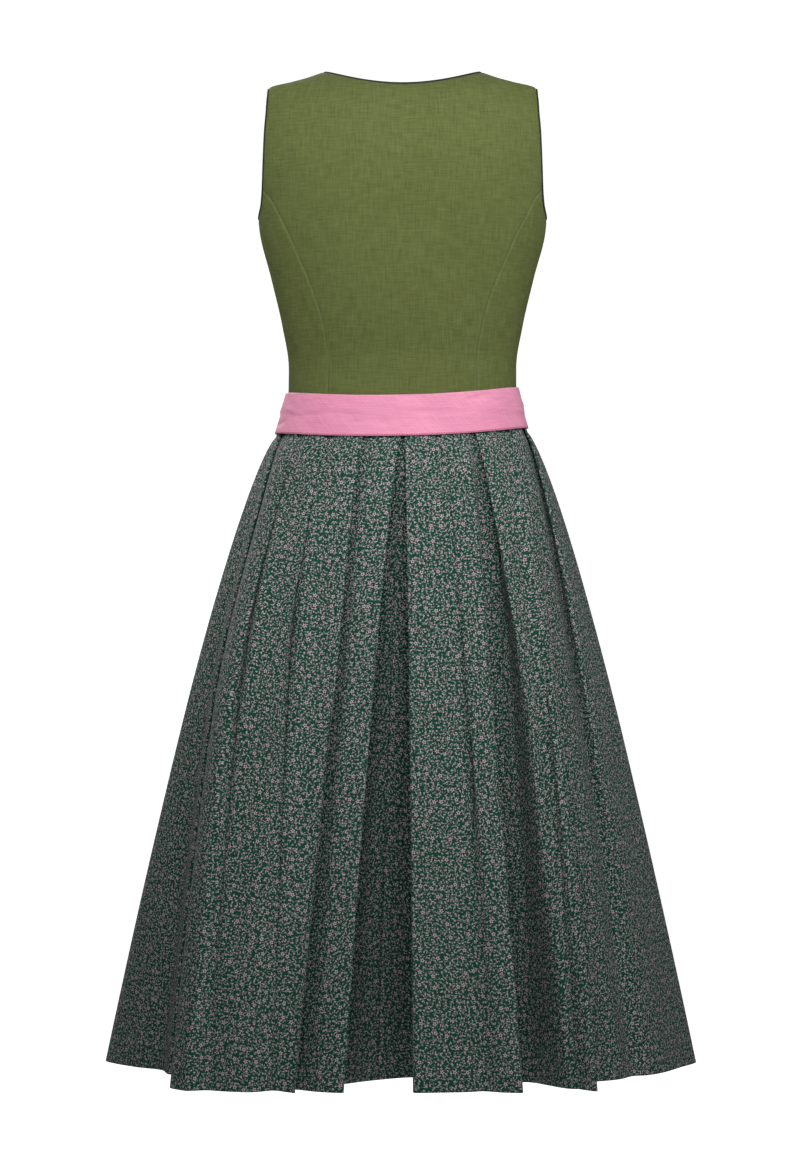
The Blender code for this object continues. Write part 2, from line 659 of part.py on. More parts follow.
def hem_tangents(rows):
    """The way that the hem runs at each row, and how straight it is there, 0 to 1."""
    places = np.array([(row.hem_x, row.hem_y) for row in rows[:-1]])
    ahead = np.roll(places, -1, axis=0) - places
    ahead /= np.linalg.norm(ahead, axis=1)[:, None]
    behind = np.roll(ahead, 1, axis=0)
    straight = (1.0 + np.sum(ahead * behind, axis=1)) / 2.0
    both = ahead + behind
    both /= np.linalg.norm(both, axis=1)[:, None]
    return both, straight


def hem_place(rows, tangents, straight, q):
    """The hem at a place between two rows, as a soft curve through them."""
    count = len(rows) - 1
    k = int(q // 1) % count
    t = q % 1.0
    here = np.array([rows[k].hem_x, rows[k].hem_y])
    there = np.array([rows[k + 1].hem_x, rows[k + 1].hem_y])
    chord = np.linalg.norm(there - here)
    n = (k + 1) % count
    least = min(SOFTEST_TURN, chord)
    pull_here = tangents[k] * max(chord * straight[k], least)
    pull_there = tangents[n] * max(chord * straight[n], least)
    rise = (3.0 - 2.0 * t) * t * t
    lead_in = t * (1.0 - t) ** 2
    lead_out = t * t * (t - 1.0)
    return here + rise * (there - here) + lead_in * pull_here + lead_out * pull_there


def fold_layers(rows, k):
    """The layers that a fold joins: the one that it comes from and the one it goes to."""
    before = rows[k - 1]
    start = 1.0 if before.fold else before.layer
    return start, 2.0 * rows[k].layer - start


def waist_place(rows, q):
    """Angle in degrees and layer of the pressed cloth at a place in its order."""
    k = int(round(q))
    off = q - k
    if rows[k].fold and abs(off) <= FOLD_SHARE + 1e-9:
        start, end = fold_layers(rows, k)
        way = 1.0 if rows[k].waist_deg > rows[k - 1].waist_deg else -1.0
        turn = off / FOLD_SHARE * pi / 2.0
        reach = way * LAYER / 2.0 * cos(turn) / RING_DEGREE
        return rows[k].waist_deg + reach, (start + end) / 2.0 - sin(turn) * (start - end) / 2.0
    k = min(int(q // 1), len(rows) - 2)
    here, there = rows[k], rows[k + 1]
    low = FOLD_SHARE if here.fold else 0.0
    high = 1.0 - FOLD_SHARE if there.fold else 1.0
    t = (q - k - low) / (high - low)
    from_layer = fold_layers(rows, k)[1] if here.fold else here.layer
    to_layer = fold_layers(rows, k + 1)[0] if there.fold else there.layer
    degrees = here.waist_deg + t * (there.waist_deg - here.waist_deg)
    return degrees, from_layer + t * (to_layer - from_layer)


def lateness(rows, q):
    k = min(int(q // 1), len(rows) - 2)
    t = q - k
    return (1.0 - t) * rows[k].late + t * rows[k + 1].late


def follow_sash(angle, height):
    """The height to which a row of the skirt is drawn up where the sash rides high."""
    if height > PLEATS_FREE:
        share = (SKIRT_ROWS[0] - height) / (SKIRT_ROWS[0] - PLEATS_FREE)
    else:
        share = smooth(LEVEL_BELOW, PLEATS_FREE, height)
    return height + share * sash_rise(angle)


def skirt_point(rows, hem, q, height):
    """The middle of the cloth at a place in its order and a height at the centre back."""
    tangents, straight = hem
    degrees, layer = waist_place(rows, q)
    angle = radians(degrees)
    ring_height = follow_sash(angle, max(height, PLEATS_FREE))
    point = oval(PLEAT_RING, angle, ring_height)
    place = point[:2] + ring_outward(angle, ring_height) * layer * LAYER
    if height < PLEATS_FREE:
        drop = (PLEATS_FREE - height) / PLEATS_FREE
        bend = 1.0 + (lateness(rows, q) - 1.0) * smooth(0.0, LATE_FROM, drop)
        aside = drop ** (SPREAD * bend)
        outward = drop ** (SPREAD * (1.0 + (bend - 1.0) * OUTWARD_SHARE))
        down = np.array([aside, outward])
        place = place + (hem_place(rows, tangents, straight, q) - place) * down
    return np.array([place[0], place[1], follow_sash(angle, height) - SHOULDER_HEIGHT])


def skirt_places(rows, first, last):
    """Where the cloth has a column of points: three in a fold, one or two in a run."""
    places = []
    for k in range(first, last):
        low = 0.0
        if rows[k].fold:
            places += [k - FOLD_SHARE, float(k)]
            low = FOLD_SHARE
        places.append(k + low)
        reach = np.hypot(rows[k + 1].hem_x - rows[k].hem_x, rows[k + 1].hem_y - rows[k].hem_y)
        between = 1 if reach < LONG_RUN else 2
        high = 1.0 - FOLD_SHARE if rows[k + 1].fold else 1.0
        places += [k + low + (high - low) * i / (between + 1.0) for i in range(1, between + 1)]
    return places + [float(last)]


def skirt_width(name, rows, hem, first, last, stuff):
    """One width of the skirt's cloth, from seam to seam."""
    places = skirt_places(rows, first, last)
    ends = (0, len(places) - 1)
    last_place = len(rows) - 1.000001
    grid = np.zeros((len(SKIRT_ROWS), len(places), 3))
    normals = np.zeros_like(grid)
    for i, height in enumerate(SKIRT_ROWS):
        for j, q in enumerate(places):
            if j in ends:
                inward = SEAM_STEP if j == 0 else -SEAM_STEP
                reach = skirt_point(rows, hem, q + inward, height)
                reach = np.linalg.norm(reach - skirt_point(rows, hem, q, height))
                q += inward * SEAM_GAP / 2.0 / reach
            grid[i, j] = skirt_point(rows, hem, q, height)
            low, high = max(q - SMALL_STEP, 0.0), min(q + SMALL_STEP, last_place)
            across = skirt_point(rows, hem, high, height) - skirt_point(rows, hem, low, height)
            above = skirt_point(rows, hem, q, min(height + SMALL_STEP, SKIRT_ROWS[0]))
            below = skirt_point(rows, hem, q, max(height - SMALL_STEP, 0.0))
            normal = np.cross(above - below, across)
            normals[i, j] = normal / np.linalg.norm(normal)
    half = normals * SKIRT_WALL / 2.0
    wall(name, grid + half, grid - half, stuff)


def skirt(stuff):
    rows, ends = full_circle()
    hem = hem_tangents(rows)
    names = ["skirt_back_left", "skirt_back_right", "skirt_front_right", "skirt_front_left"]
    for name, first, last in zip(names, ends, ends[1:]):
        skirt_width(name, rows, hem, first, last, stuff)


# ------------------------------------------------------------------ the dress
def build():
    for old in list(bpy.data.objects):
        bpy.data.objects.remove(old, do_unlink=True)
    linen = material("olive_linen", OLIVE_LINEN, 0.85)
    piping = material("dark_piping", DARK_PIPING, 0.80)
    cotton = material("printed_cotton", GREEN_PRINT, 0.85)
    back_centre(linen)
    for side, hand in ((1, "left"), (-1, "right")):
        side_panel("bodice_back_side_" + hand, False, side, linen)
        side_panel("bodice_front_side_" + hand, True, side, linen)
        front_centre("bodice_front_centre_" + hand, side, linen)
        armhole_piping("armhole_piping_" + hand, side, piping)
    neck_piping(piping)
    sash(material("pink_sash", PINK_SASH, 0.75))
    skirt(cotton)
    horn = material("button_horn", HORN_BUTTON, 0.45)
    for i in range(BUTTONS):
        button(f"button_{i + 1}", LOWEST_BUTTON + BUTTON_PITCH * i, horn)


build()
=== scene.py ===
from collections import namedtuple
from math import cos, pi, radians, sin

import bmesh
import bpy
import numpy as np
from mathutils import Matrix


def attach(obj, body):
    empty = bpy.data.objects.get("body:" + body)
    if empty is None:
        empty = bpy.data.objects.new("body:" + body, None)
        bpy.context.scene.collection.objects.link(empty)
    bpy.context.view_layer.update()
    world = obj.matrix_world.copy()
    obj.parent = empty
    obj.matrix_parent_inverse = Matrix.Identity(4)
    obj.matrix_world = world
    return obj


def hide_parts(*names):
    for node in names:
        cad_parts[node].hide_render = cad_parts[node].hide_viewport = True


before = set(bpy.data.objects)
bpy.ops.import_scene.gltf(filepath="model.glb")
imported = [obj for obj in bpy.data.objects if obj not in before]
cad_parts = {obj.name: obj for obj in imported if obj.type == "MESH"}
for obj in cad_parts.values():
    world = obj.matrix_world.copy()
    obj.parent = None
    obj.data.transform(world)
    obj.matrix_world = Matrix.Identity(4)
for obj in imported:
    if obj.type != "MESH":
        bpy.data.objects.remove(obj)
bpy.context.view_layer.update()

scene = bpy.context.scene


# ---------------------------------------------------------------- the camera
# A long lens a little over four metres behind the dress, level, at half its height. It looks
# square at the back, so what lies to its right lies to the wearer's right.
FOCUS_HEIGHT = -0.5335
camera_data = bpy.data.cameras.new("studio_camera")
camera_data.sensor_fit = "VERTICAL"
camera_data.sensor_height = 36.0
camera_data.lens = 126.3
camera_data.clip_end = 60.0
camera = bpy.data.objects.new("studio_camera", camera_data)
camera.location = (0.00265, 4.34, FOCUS_HEIGHT)
camera.rotation_euler = (pi / 2.0, 0.0, pi)
scene.collection.objects.link(camera)
scene.camera = camera


# ---------------------------------------------------------------- the studio
# A matt pale floor that turns up into a round wall, so that no corner shows anywhere. The dress
# hangs above it at the height at which it is worn, under five soft lights.
FLOOR_HEIGHT = -1.46
COVE_FLAT = 7.0           # where the floor starts to turn up
COVE_BEND = 2.6
COVE_WALL = 7.0
SIDES = ((1, "left"), (-1, "right"))      # the wearer's: the sign of x, and the word


def feed(tree, node, values):
    """Wire or set a node's inputs; a value is another node's output, or plain."""
    for socket, value in values.items():
        if isinstance(value, bpy.types.NodeSocket):
            tree.links.new(value, node.inputs[socket])
        else:
            node.inputs[socket].default_value = value


def add(tree, kind, values=None, **settings):
    """A node of a kind, its settings made and its inputs fed."""
    node = tree.nodes.new("ShaderNode" + kind)
    for setting, value in settings.items():
        setattr(node, setting, value)
    feed(tree, node, values or {})
    return node


def ranged(tree, value, start, end, low=0.0, high=1.0):
    """What a value between start and end comes to between low and high."""
    return add(tree, "MapRange", {"Value": value, "From Min": start, "From Max": end,
                                  "To Min": low, "To Max": high}).outputs["Result"]


def clouds(tree, place, scale, detail, **settings):
    """Soft uneven patches, as a value and as a colour."""
    values = {"Vector": place, "Scale": scale, "Detail": detail}
    return add(tree, "TexNoise", values, **settings).outputs


def tone_ramp(tree, factor, tones):
    """A colour that follows a value through (position, colour) stops."""
    node = add(tree, "ValToRGB", {"Fac": factor})
    stops = node.color_ramp.elements
    while len(stops) < len(tones):
        stops.new(0.5)
    for stop, (position, colour) in zip(stops, tones):
        stop.position = position
        stop.color = (*colour, 1.0)
    return node.outputs["Color"]


def blank_material(name):
    """A material with its Principled shader, and the tree to wire it in."""
    made = bpy.data.materials.new(name)
    made.use_nodes = True
    return made, made.node_tree, made.node_tree.nodes["Principled BSDF"]


def paper_white():
    """Painted cove: matt, near white, with the faint cloudiness of rolled paint."""
    made, tree, shader = blank_material("cove_paint")
    place = add(tree, "TexCoord").outputs["Object"]
    cloud = clouds(tree, place, scale=1.7, detail=3.0)["Fac"]
    tone = tone_ramp(tree, cloud, [(0.0, (0.40, 0.40, 0.40)), (1.0, (0.44, 0.44, 0.44))])
    seen = add(tree, "LightPath").outputs["Is Camera Ray"]
    feed(tree, shader, {
        "Base Color": tone,
        "Roughness": 0.9,
        "Emission Color": (1.0, 1.0, 1.0, 1.0),
        "Emission Strength": ranged(tree, seen, 0.0, 1.0, 0.05, 1.0),
    })
    return made


def in_order(face):
    """A rank by the face's vertices, because a spin leaves its faces in no fixed order."""
    numbers = sorted(vert.index for vert in face.verts)
    return numbers[0] + numbers[-1] * 1e-4


def spun(line, steps):
    """A line of (radius, height) spun once round the upright axis, its poles closed."""
    bm = bmesh.new()
    verts = [bm.verts.new((radius, 0.0, height)) for radius, height in line]
    edges = [bm.edges.new(pair) for pair in zip(verts, verts[1:])]
    bmesh.ops.spin(bm, geom=verts + edges, cent=(0.0, 0.0, 0.0), axis=(0.0, 0.0, 1.0),
                   angle=2.0 * pi, steps=steps, use_merge=True)
    bmesh.ops.remove_doubles(bm, verts=bm.verts, dist=1e-5)
    bm.verts.index_update()
    bm.faces.sort(key=in_order)
    bmesh.ops.recalc_face_normals(bm, faces=bm.faces)
    return bm


def piece_of(bm, name, stuff):
    """The finished piece from its working mesh, in its material and in the scene."""
    mesh = bpy.data.meshes.new(name)
    bm.to_mesh(mesh)
    bm.free()
    mesh.shade_smooth()
    mesh.materials.append(stuff)
    made = bpy.data.objects.new(name, mesh)
    scene.collection.objects.link(made)
    return made


def cove():
    """The floor, its bend and the wall, turned round the dress."""
    line = [(0.0, FLOOR_HEIGHT)]
    for turn in np.linspace(0.0, pi / 2.0, 13):
        line.append((COVE_FLAT + COVE_BEND * sin(turn),
                     FLOOR_HEIGHT + COVE_BEND * (1.0 - cos(turn))))
    line.append((COVE_FLAT + COVE_BEND, FLOOR_HEIGHT + COVE_BEND + COVE_WALL))
    piece_of(spun(line, steps=96), "studio_cove", paper_white())


def soft_light(name, place, size, power, facing=FOCUS_HEIGHT):
    """A square soft box that faces the dress at a height."""
    data = bpy.data.lights.new(name, "AREA")
    data.shape = "SQUARE"
    data.size = size
    data.energy = power
    made = bpy.data.objects.new(name, data)
    made.location = place
    aim = np.array([0.0, 0.0, facing]) - np.array(place)
    flat = np.hypot(aim[0], aim[1])
    made.rotation_euler = (np.arctan2(flat, -aim[2]), 0.0, np.arctan2(-aim[0], aim[1]))
    made.visible_camera = False
    scene.collection.objects.link(made)


cove()
soft_light("key_light", (-0.05, 1.34, 0.46), size=0.7, power=17.0, facing=0.0)
soft_light("fill_light", (-2.3, 1.7, 0.3), size=1.2, power=9.0)
soft_light("front_light", (0.9, -2.6, 1.4), size=1.6, power=84.0)
for side, hand in SIDES:
    soft_light("bodice_light_" + hand, (side * 0.95, 0.50, 0.10), size=0.5, power=4.9, facing=0.5)
sky = bpy.data.worlds.new("studio_air")
sky.use_nodes = True
feed(sky.node_tree, sky.node_tree.nodes["Background"],
     {"Color": (1.0, 1.0, 1.0, 1.0), "Strength": 0.10})
scene.world = sky
scene.view_settings.view_transform = "Standard"


# ---------------------------------------------------------------- the linen
# The bodice cloth is a fine plain-woven linen, dyed olive in the yarn. Its threads vary in
# thickness, so short light and dark slubs run along the warp and across it.
WEAVE_SHARE = 0.35        # how far the fine weave stands out, beside the slubs
RELIEF_STRENGTH = 0.6


def maths(tree, operation, *values):
    """One step of reckoning on outputs and plain numbers."""
    return add(tree, "Math", dict(enumerate(values)), operation=operation).outputs[0]


def node_group(name, taken, given):
    """An empty group of nodes: the values it takes, and its end, fed with what it gives."""
    group = bpy.data.node_groups.new(name, "ShaderNodeTree")
    for socket in taken + given:
        group.interface.new_socket(
            socket, in_out="INPUT" if socket in taken else "OUTPUT",
            socket_type="NodeSocketVector" if socket == "Place" else "NodeSocketFloat")
    start = group.nodes.new("NodeGroupInput").outputs
    return group, start, group.nodes.new("NodeGroupOutput")


def woven_threads():
    """Slubs along both threads and the fine weave between them, for every cloth here."""
    group, taken, end = node_group("woven_threads", ["Place", "Thread", "Slub Length"],
                                   ["Slubs", "Weave"])
    parts = add(group, "SeparateXYZ", {"Vector": taken["Place"]}).outputs
    count = maths(group, "DIVIDE", 1.0, taken["Thread"])
    slow = maths(group, "DIVIDE", count, taken["Slub Length"])
    runs = []
    for across, down in ((count, slow), (slow, count)):
        along = add(group, "CombineXYZ", {"X": maths(group, "MULTIPLY", parts["X"], across),
                                          "Y": maths(group, "MULTIPLY", parts["Y"], down)})
        slubs = clouds(group, along.outputs[0], scale=0.5, detail=2.0, noise_dimensions="2D")
        runs.append(slubs["Fac"])
    waves = []
    for part in ("X", "Y"):
        turn = maths(group, "MULTIPLY", parts[part], count)
        waves.append(maths(group, "SINE", maths(group, "MULTIPLY", turn, pi)))
    feed(group, end, {
        "Slubs": maths(group, "MULTIPLY", maths(group, "ADD", *runs), 0.5),
        "Weave": maths(group, "MULTIPLY", *waves),
    })
    return group


woven = woven_threads()


def threads(tree, place, thread, slub_length):
    """The woven threads in a material, with that cloth's own sizes."""
    node = add(tree, "Group", node_tree=woven)
    feed(tree, node, {"Place": place, "Thread": thread, "Slub Length": slub_length})
    return node.outputs["Slubs"], node.outputs["Weave"]


def blend_colours(tree, factor, first, second, blend="MIX"):
    """Two colours mixed by a value; the second is an output or red, green and blue."""
    if not isinstance(second, bpy.types.NodeSocket):
        second = (*second, 1.0)
    return add(tree, "Mix", {0: factor, 6: first, 7: second}, data_type="RGBA",
               blend_type=blend).outputs[2]


def cloth_place(tree):
    return add(tree, "UVMap", uv_map="cloth").outputs["UV"]


def bumped(tree, height, depth, strength):
    """A relief of a depth in metres."""
    values = {"Height": height, "Distance": depth, "Strength": strength}
    return add(tree, "Bump", values).outputs["Normal"]


def cloth_finish(tree, shader, colour, slubs, weave, roughness, depth):
    """A cloth's colour, its roughness from slub to slub, and its threads raised a little."""
    raised = maths(tree, "MULTIPLY_ADD", weave, WEAVE_SHARE, slubs)
    feed(tree, shader, {
        "Base Color": colour,
        "Roughness": ranged(tree, slubs, 0.0, 1.0, *roughness),
        "Normal": bumped(tree, raised, depth, RELIEF_STRENGTH),
    })


def olive_linen():
    made, tree, shader = blank_material("olive_linen_cloth")
    place = cloth_place(tree)
    slubs, weave = threads(tree, place, thread=0.00055, slub_length=15.0)
    coarse, _ = threads(tree, place, thread=0.0011, slub_length=10.0)
    coarse = maths(tree, "MULTIPLY", coarse, 0.45)
    yarn = tone_ramp(tree, maths(tree, "MULTIPLY_ADD", slubs, 0.55, coarse), [
        (0.34, (0.094, 0.112, 0.036)),
        (0.50, (0.122, 0.145, 0.048)),
        (0.68, (0.158, 0.183, 0.067)),
    ])
    soft = tone_ramp(tree, clouds(tree, place, scale=9.0, detail=3.0)["Fac"],
                     [(0.3, (0.93, 0.94, 0.91)), (0.7, (1.0, 1.0, 1.0))])
    mottled_yarn = blend_colours(tree, 1.0, yarn, soft, "MULTIPLY")
    # painted highlight: a paler olive beside each pressed seam, standing for light caught by the
    # seam's ridge
    pressed = add(tree, "Attribute", attribute_name="pressed").outputs["Fac"]
    seam_highlit = blend_colours(tree, pressed, mottled_yarn, (0.235, 0.270, 0.128))
    cloth_finish(tree, shader, seam_highlit, slubs, weave, (0.78, 0.92), 0.00035)
    feed(tree, shader, {"Sheen Weight": 0.02, "Specular IOR Level": 0.01})
    return made


linen = olive_linen()


# ---------------------------------------------------------------- the bodice
# Seven linen panels, each stiffened with a fused interlining, so that they hold the shape of the
# body: one across the middle of the back, and at each side a back side, a front side and a front
# that buttons. They are sewn edge to edge and the seams are pressed open.
SHOULDER_HEIGHT = 1.040   # hem to the middle of the shoulder line
WAIST_SEAM = 0.685
UNDERARM = 0.892
SHOULDER_TIP = 1.031
NECK_POINT = 1.0476
NECK_HALF_WIDTH = 0.085
BACK_NECK = 1.029
FRONT_NECK = 0.905
LAP = 0.010               # how far each front runs past the centre front
LAP_RAMP = 0.024
LAP_RISE = 0.0026
BUST_RISE = 0.011
BUST_PLACE = (0.072, 0.862)     # from the centre line, and above the hem
BUST_SPREAD = (0.045, 0.050)
BUST_FULL = 0.35          # how far round to the front it stands out in full
SCOOP_DOWN = 0.8          # powers that square the front neckline a little
SCOOP_ACROSS = 0.9
ROUNDNESS = 2.2
BODICE_CLOTH = 0.0016
# height above the hem, half width, depth behind and before the side seam, the seam's own y
BODY = [
    (0.680, 0.1238, 0.0930, 0.1060, -0.015),
    (0.703, 0.1214, 0.0912, 0.1042, -0.015),
    (0.735, 0.1210, 0.0900, 0.1030, -0.015),
    (0.780, 0.1279, 0.0960, 0.1085, -0.013),
    (0.830, 0.1395, 0.1020, 0.1140, -0.011),
    (0.881, 0.1520, 0.1050, 0.1140, -0.008),
    (0.917, 0.1550, 0.1060, 0.1120, -0.005),
    (0.950, 0.1590, 0.1040, 0.1040, -0.003),
    (0.980, 0.1600, 0.0960, 0.0900, -0.001),
    (1.005, 0.1570, 0.0850, 0.0750, 0.0),
    (1.020, 0.1490, 0.0740, 0.0630, 0.0),
    (1.031, 0.1414, 0.0620, 0.0520, 0.0),
    (1.036, 0.1220, 0.0560, 0.0460, 0.0),
    (1.0415, 0.1022, 0.0490, 0.0390, 0.0),
    (1.0476, 0.0850, 0.0400, 0.0300, 0.0),
]
# height and distance from the centre of the seams between middle and side panels
BACK_PRINCESS = [(0.685, 0.0785), (0.739, 0.0775), (0.774, 0.0823), (0.807, 0.0917),
                 (0.843, 0.1064), (0.874, 0.1200), (0.906, 0.1368), (0.921, 0.1474)]
FRONT_PRINCESS = [(0.685, 0.0720), (0.735, 0.0700), (0.780, 0.0740), (0.830, 0.0800),
                  (0.865, 0.0880), (0.900, 0.1080), (0.930, 0.1290), (0.948, 0.1416)]
# height, and distance from the centre, of the armhole's edge behind and before
ARMHOLE = [(0.892, 0.15311, 0.15311), (0.905, 0.1492, 0.1480), (0.921, 0.1474, 0.1448),
           (0.948, 0.1460, 0.1416), (0.980, 0.1444, 0.1392), (1.005, 0.1424, 0.1390),
           (1.020, 0.1418, 0.1400), (1.031, 0.1414, 0.1414)]


def soft_curve(t, here, there, pull_here, pull_there, step=1.0):
    """The smooth way from here to there, with a direction of its own at each end."""
    rise = (3.0 - 2.0 * t) * t * t
    lead = t * (1.0 - t) ** 2 * pull_here + t * t * (t - 1.0) * pull_there
    return here + rise * (there - here) + lead * step


def read_off(table, column, height):
    """A column of a table at any height, as a smooth line that never overshoots its rows."""
    x = np.array([row[0] for row in table])
    y = np.array([row[column] for row in table])
    at = np.clip(height, x[0], x[-1])
    slope = np.diff(y) / np.diff(x)
    tangent = np.concatenate([slope[:1], np.zeros(len(slope) - 1), slope[-1:]])
    for k in range(1, len(slope)):
        before, after = slope[k - 1], slope[k]
        if before * after > 0.0:
            tangent[k] = 2.0 * before * after / (before + after)
    k = np.clip(np.searchsorted(x, at, side="right") - 1, 0, len(slope) - 1)
    step = x[k + 1] - x[k]
    return soft_curve((at - x[k]) / step, y[k], y[k + 1], tangent[k], tangent[k + 1], step)


def ease(start, end, at):
    """0 before start, 1 after end, and an even climb between them."""
    t = np.clip((at - start) / (end - start), 0.0, 1.0)
    return t * t * (3.0 - 2.0 * t)


def places(*parts):
    """Coordinates side by side; each part is a run of numbers, or one number for them all."""
    return np.stack(np.broadcast_arrays(*parts), axis=-1)


def ring_point(table, angle, height):
    """Round the dress: angle 0 is the centre back, a quarter turn the wearer's left."""
    angle, height = np.broadcast_arrays(np.asarray(angle, float), np.asarray(height, float))
    half_width = read_off(table, 1, height)
    behind, before = read_off(table, 2, height), read_off(table, 3, height)
    depth = np.where(np.cos(angle) >= 0.0, behind, before)
    across = np.sign(np.sin(angle)) * np.abs(np.sin(angle)) ** (2.0 / ROUNDNESS)
    through = np.sign(np.cos(angle)) * np.abs(np.cos(angle)) ** (2.0 / ROUNDNESS)
    y = read_off(table, 4, height) + depth * through
    return places(half_width * across, y, height - SHOULDER_HEIGHT)


def on_body(angle, height):
    """The body's surface: the oval sections and the swell of the bust before them."""
    point = ring_point(BODY, angle, height)
    across = (np.abs(point[..., 0]) - BUST_PLACE[0]) / BUST_SPREAD[0]
    up = (point[..., 2] + SHOULDER_HEIGHT - BUST_PLACE[1]) / BUST_SPREAD[1]
    swell = BUST_RISE * np.exp(-across * across - up * up)
    point[..., 1] -= swell * ease(0.0, BUST_FULL, -np.cos(angle))
    return point


def unit(vectors):
    """The same directions, each one long."""
    return vectors / np.linalg.norm(vectors, axis=-1)[..., None]


def off_body(angle, height):
    """Straight out of the body's surface."""
    turn, climb = 0.012, 0.0008
    high = np.minimum(height + climb, NECK_POINT)
    across = on_body(angle + turn, height) - on_body(angle - turn, height)
    up = on_body(angle, high) - on_body(angle, high - 2.0 * climb)
    return unit(np.cross(up, across))


def angle_at(x, height, front):
    """The angle at which the body's surface passes a distance from the centre line."""
    share = np.clip(np.abs(x) / read_off(BODY, 1, height), 0.0, 1.0)
    angle = np.arcsin(share ** (ROUNDNESS / 2.0)) * np.where(x < 0.0, -1.0, 1.0)
    return pi - angle if front else angle


def armhole_line(share, front):
    """The armhole from the underarm, 0, to the tip of the shoulder, 1, as (x, height)."""
    height = UNDERARM + (SHOULDER_TIP - UNDERARM) * (1.0 - np.cos(pi * share)) / 2.0
    return places(read_off(ARMHOLE, 2 if front else 1, height), height)


def armhole_corner(front):
    """The share of the armhole at which the princess seam runs into it."""
    height = (FRONT_PRINCESS if front else BACK_PRINCESS)[-1][0]
    rise = (height - UNDERARM) / (SHOULDER_TIP - UNDERARM)
    return np.arccos(1.0 - 2.0 * rise) / pi


def shoulder_line(share):
    """From the neck point, 0, to the tip of the shoulder, 1."""
    height = NECK_POINT + (SHOULDER_TIP - NECK_POINT) * share
    return places(read_off(BODY, 1, height), height)


def back_neck_line(share):
    """From the centre back, 0, to the neck point, 1."""
    height = BACK_NECK + (NECK_POINT - BACK_NECK) * share * share
    return places(NECK_HALF_WIDTH * share, height)


def front_neck_line(share):
    """From the centre front, 0, to the neck point, 1."""
    turn = share * pi / 2.0
    height = NECK_POINT - (NECK_POINT - FRONT_NECK) * np.cos(turn) ** SCOOP_DOWN
    return places(NECK_HALF_WIDTH * np.sin(turn) ** SCOOP_ACROSS, height)


def princess_line(share, front):
    """From the waist, 0, to where the seam runs into the armhole, 1."""
    table = FRONT_PRINCESS if front else BACK_PRINCESS
    height = WAIST_SEAM + (table[-1][0] - WAIST_SEAM) * share
    return places(read_off(table, 1, height), height)


def closer_at_ends(count, drawn=0.84):
    """Steps from 0 to 1 that draw closer at both ends, where a seam rolls the edge in."""
    t = np.linspace(0.0, 1.0, count)
    return t - drawn * np.sin(2.0 * pi * t) / (2.0 * pi)


def closer_at_last(count, even=0.25):
    """Steps from 0 to 1 that draw closer towards 1; at even=1 they would all be alike."""
    t = np.linspace(0.0, 1.0, count)
    return even * t + (1.0 - even) * np.sin(t * pi / 2.0)


def inside_edges(left, right, bottom, top, u):
    """A net of places inside four edges, each a row of (x, height)."""
    u = u[None, :, None]
    v = np.linspace(0.0, 1.0, len(left))[:, None, None]
    sides = (1.0 - u) * left[:, None] + u * right[:, None]
    ends = (1.0 - v) * bottom[None] + v * top[None]
    low = (1.0 - u) * left[0] + u * right[0]
    high = (1.0 - u) * left[-1] + u * right[-1]
    return sides + ends - (1.0 - v) * low - v * high


def lengths(points, axis):
    """How far along its row or column each point of a net lies."""
    steps = np.linalg.norm(np.diff(points, axis=axis), axis=-1)
    start = np.zeros_like(np.take(steps, [0], axis=axis))
    return np.concatenate([start, np.cumsum(steps, axis=axis)], axis=axis)


def netted(points, flat_place, marks):
    """Faces on a net of points, with the weave laid by flat_place in metres."""
    rows, cols = points.shape[:2]
    bm = bmesh.new()
    bmesh.ops.create_grid(bm, x_segments=cols - 1, y_segments=rows - 1, size=0.5)
    weave = bm.loops.layers.uv.new("cloth")
    layers = {mark: bm.verts.layers.float.new(mark) for mark in marks}
    spot = {}
    for vert in bm.verts:
        column = round((vert.co.x + 0.5) * (cols - 1))
        row = round((vert.co.y + 0.5) * (rows - 1))
        spot[vert] = row, column
        vert.co = points[row, column]
        for mark, layer in layers.items():
            vert[layer] = marks[mark][row, column]
    for face in bm.faces:
        for loop in face.loops:
            loop[weave].uv = flat_place[spot[loop.vert]]
    return bm, spot


def lay_cloth(name, points, outward, flat_place, stuff, thickness, offset, marks=None):
    """A sheet of cloth on a net of points, that faces outward."""
    bm, spot = netted(points, flat_place, marks or {})
    bm.normal_update()
    facing = sum(face.normal.dot(outward[spot[face.verts[0]]]) for face in bm.faces)
    if facing < 0.0:
        bmesh.ops.reverse_faces(bm, faces=bm.faces)
    made = piece_of(bm, name, stuff)
    wall = made.modifiers.new("cloth_thickness", "SOLIDIFY")
    wall.thickness = thickness
    wall.offset = offset
    return made


SEAM_ROLL = 0.0007        # how deep a sewn edge turns in
EDGE_ROLL = 0.0005        # and an edge that is piped or folded
SEAM_WIDTH = 0.0015       # over how much of the panel
HIGHLIGHT_WIDTH = 0.0012    # the painted highlight line beside a seam, standing for light caught by its pressed ridge
HIGHLIGHT_AWAY = 1.4        # widths from the seam to its middle
PAINTED_HIGHLIGHT = 0.13       # how strong the painted highlight is
LAP_FLAT = 0.005          # how far past the centre the upper front is fully raised


def over_lap(x):
    """How far the upper front is raised over the lower one."""
    return LAP_RISE * (1.0 - ease(LAP + LAP_FLAT, LAP + LAP_RAMP, x))


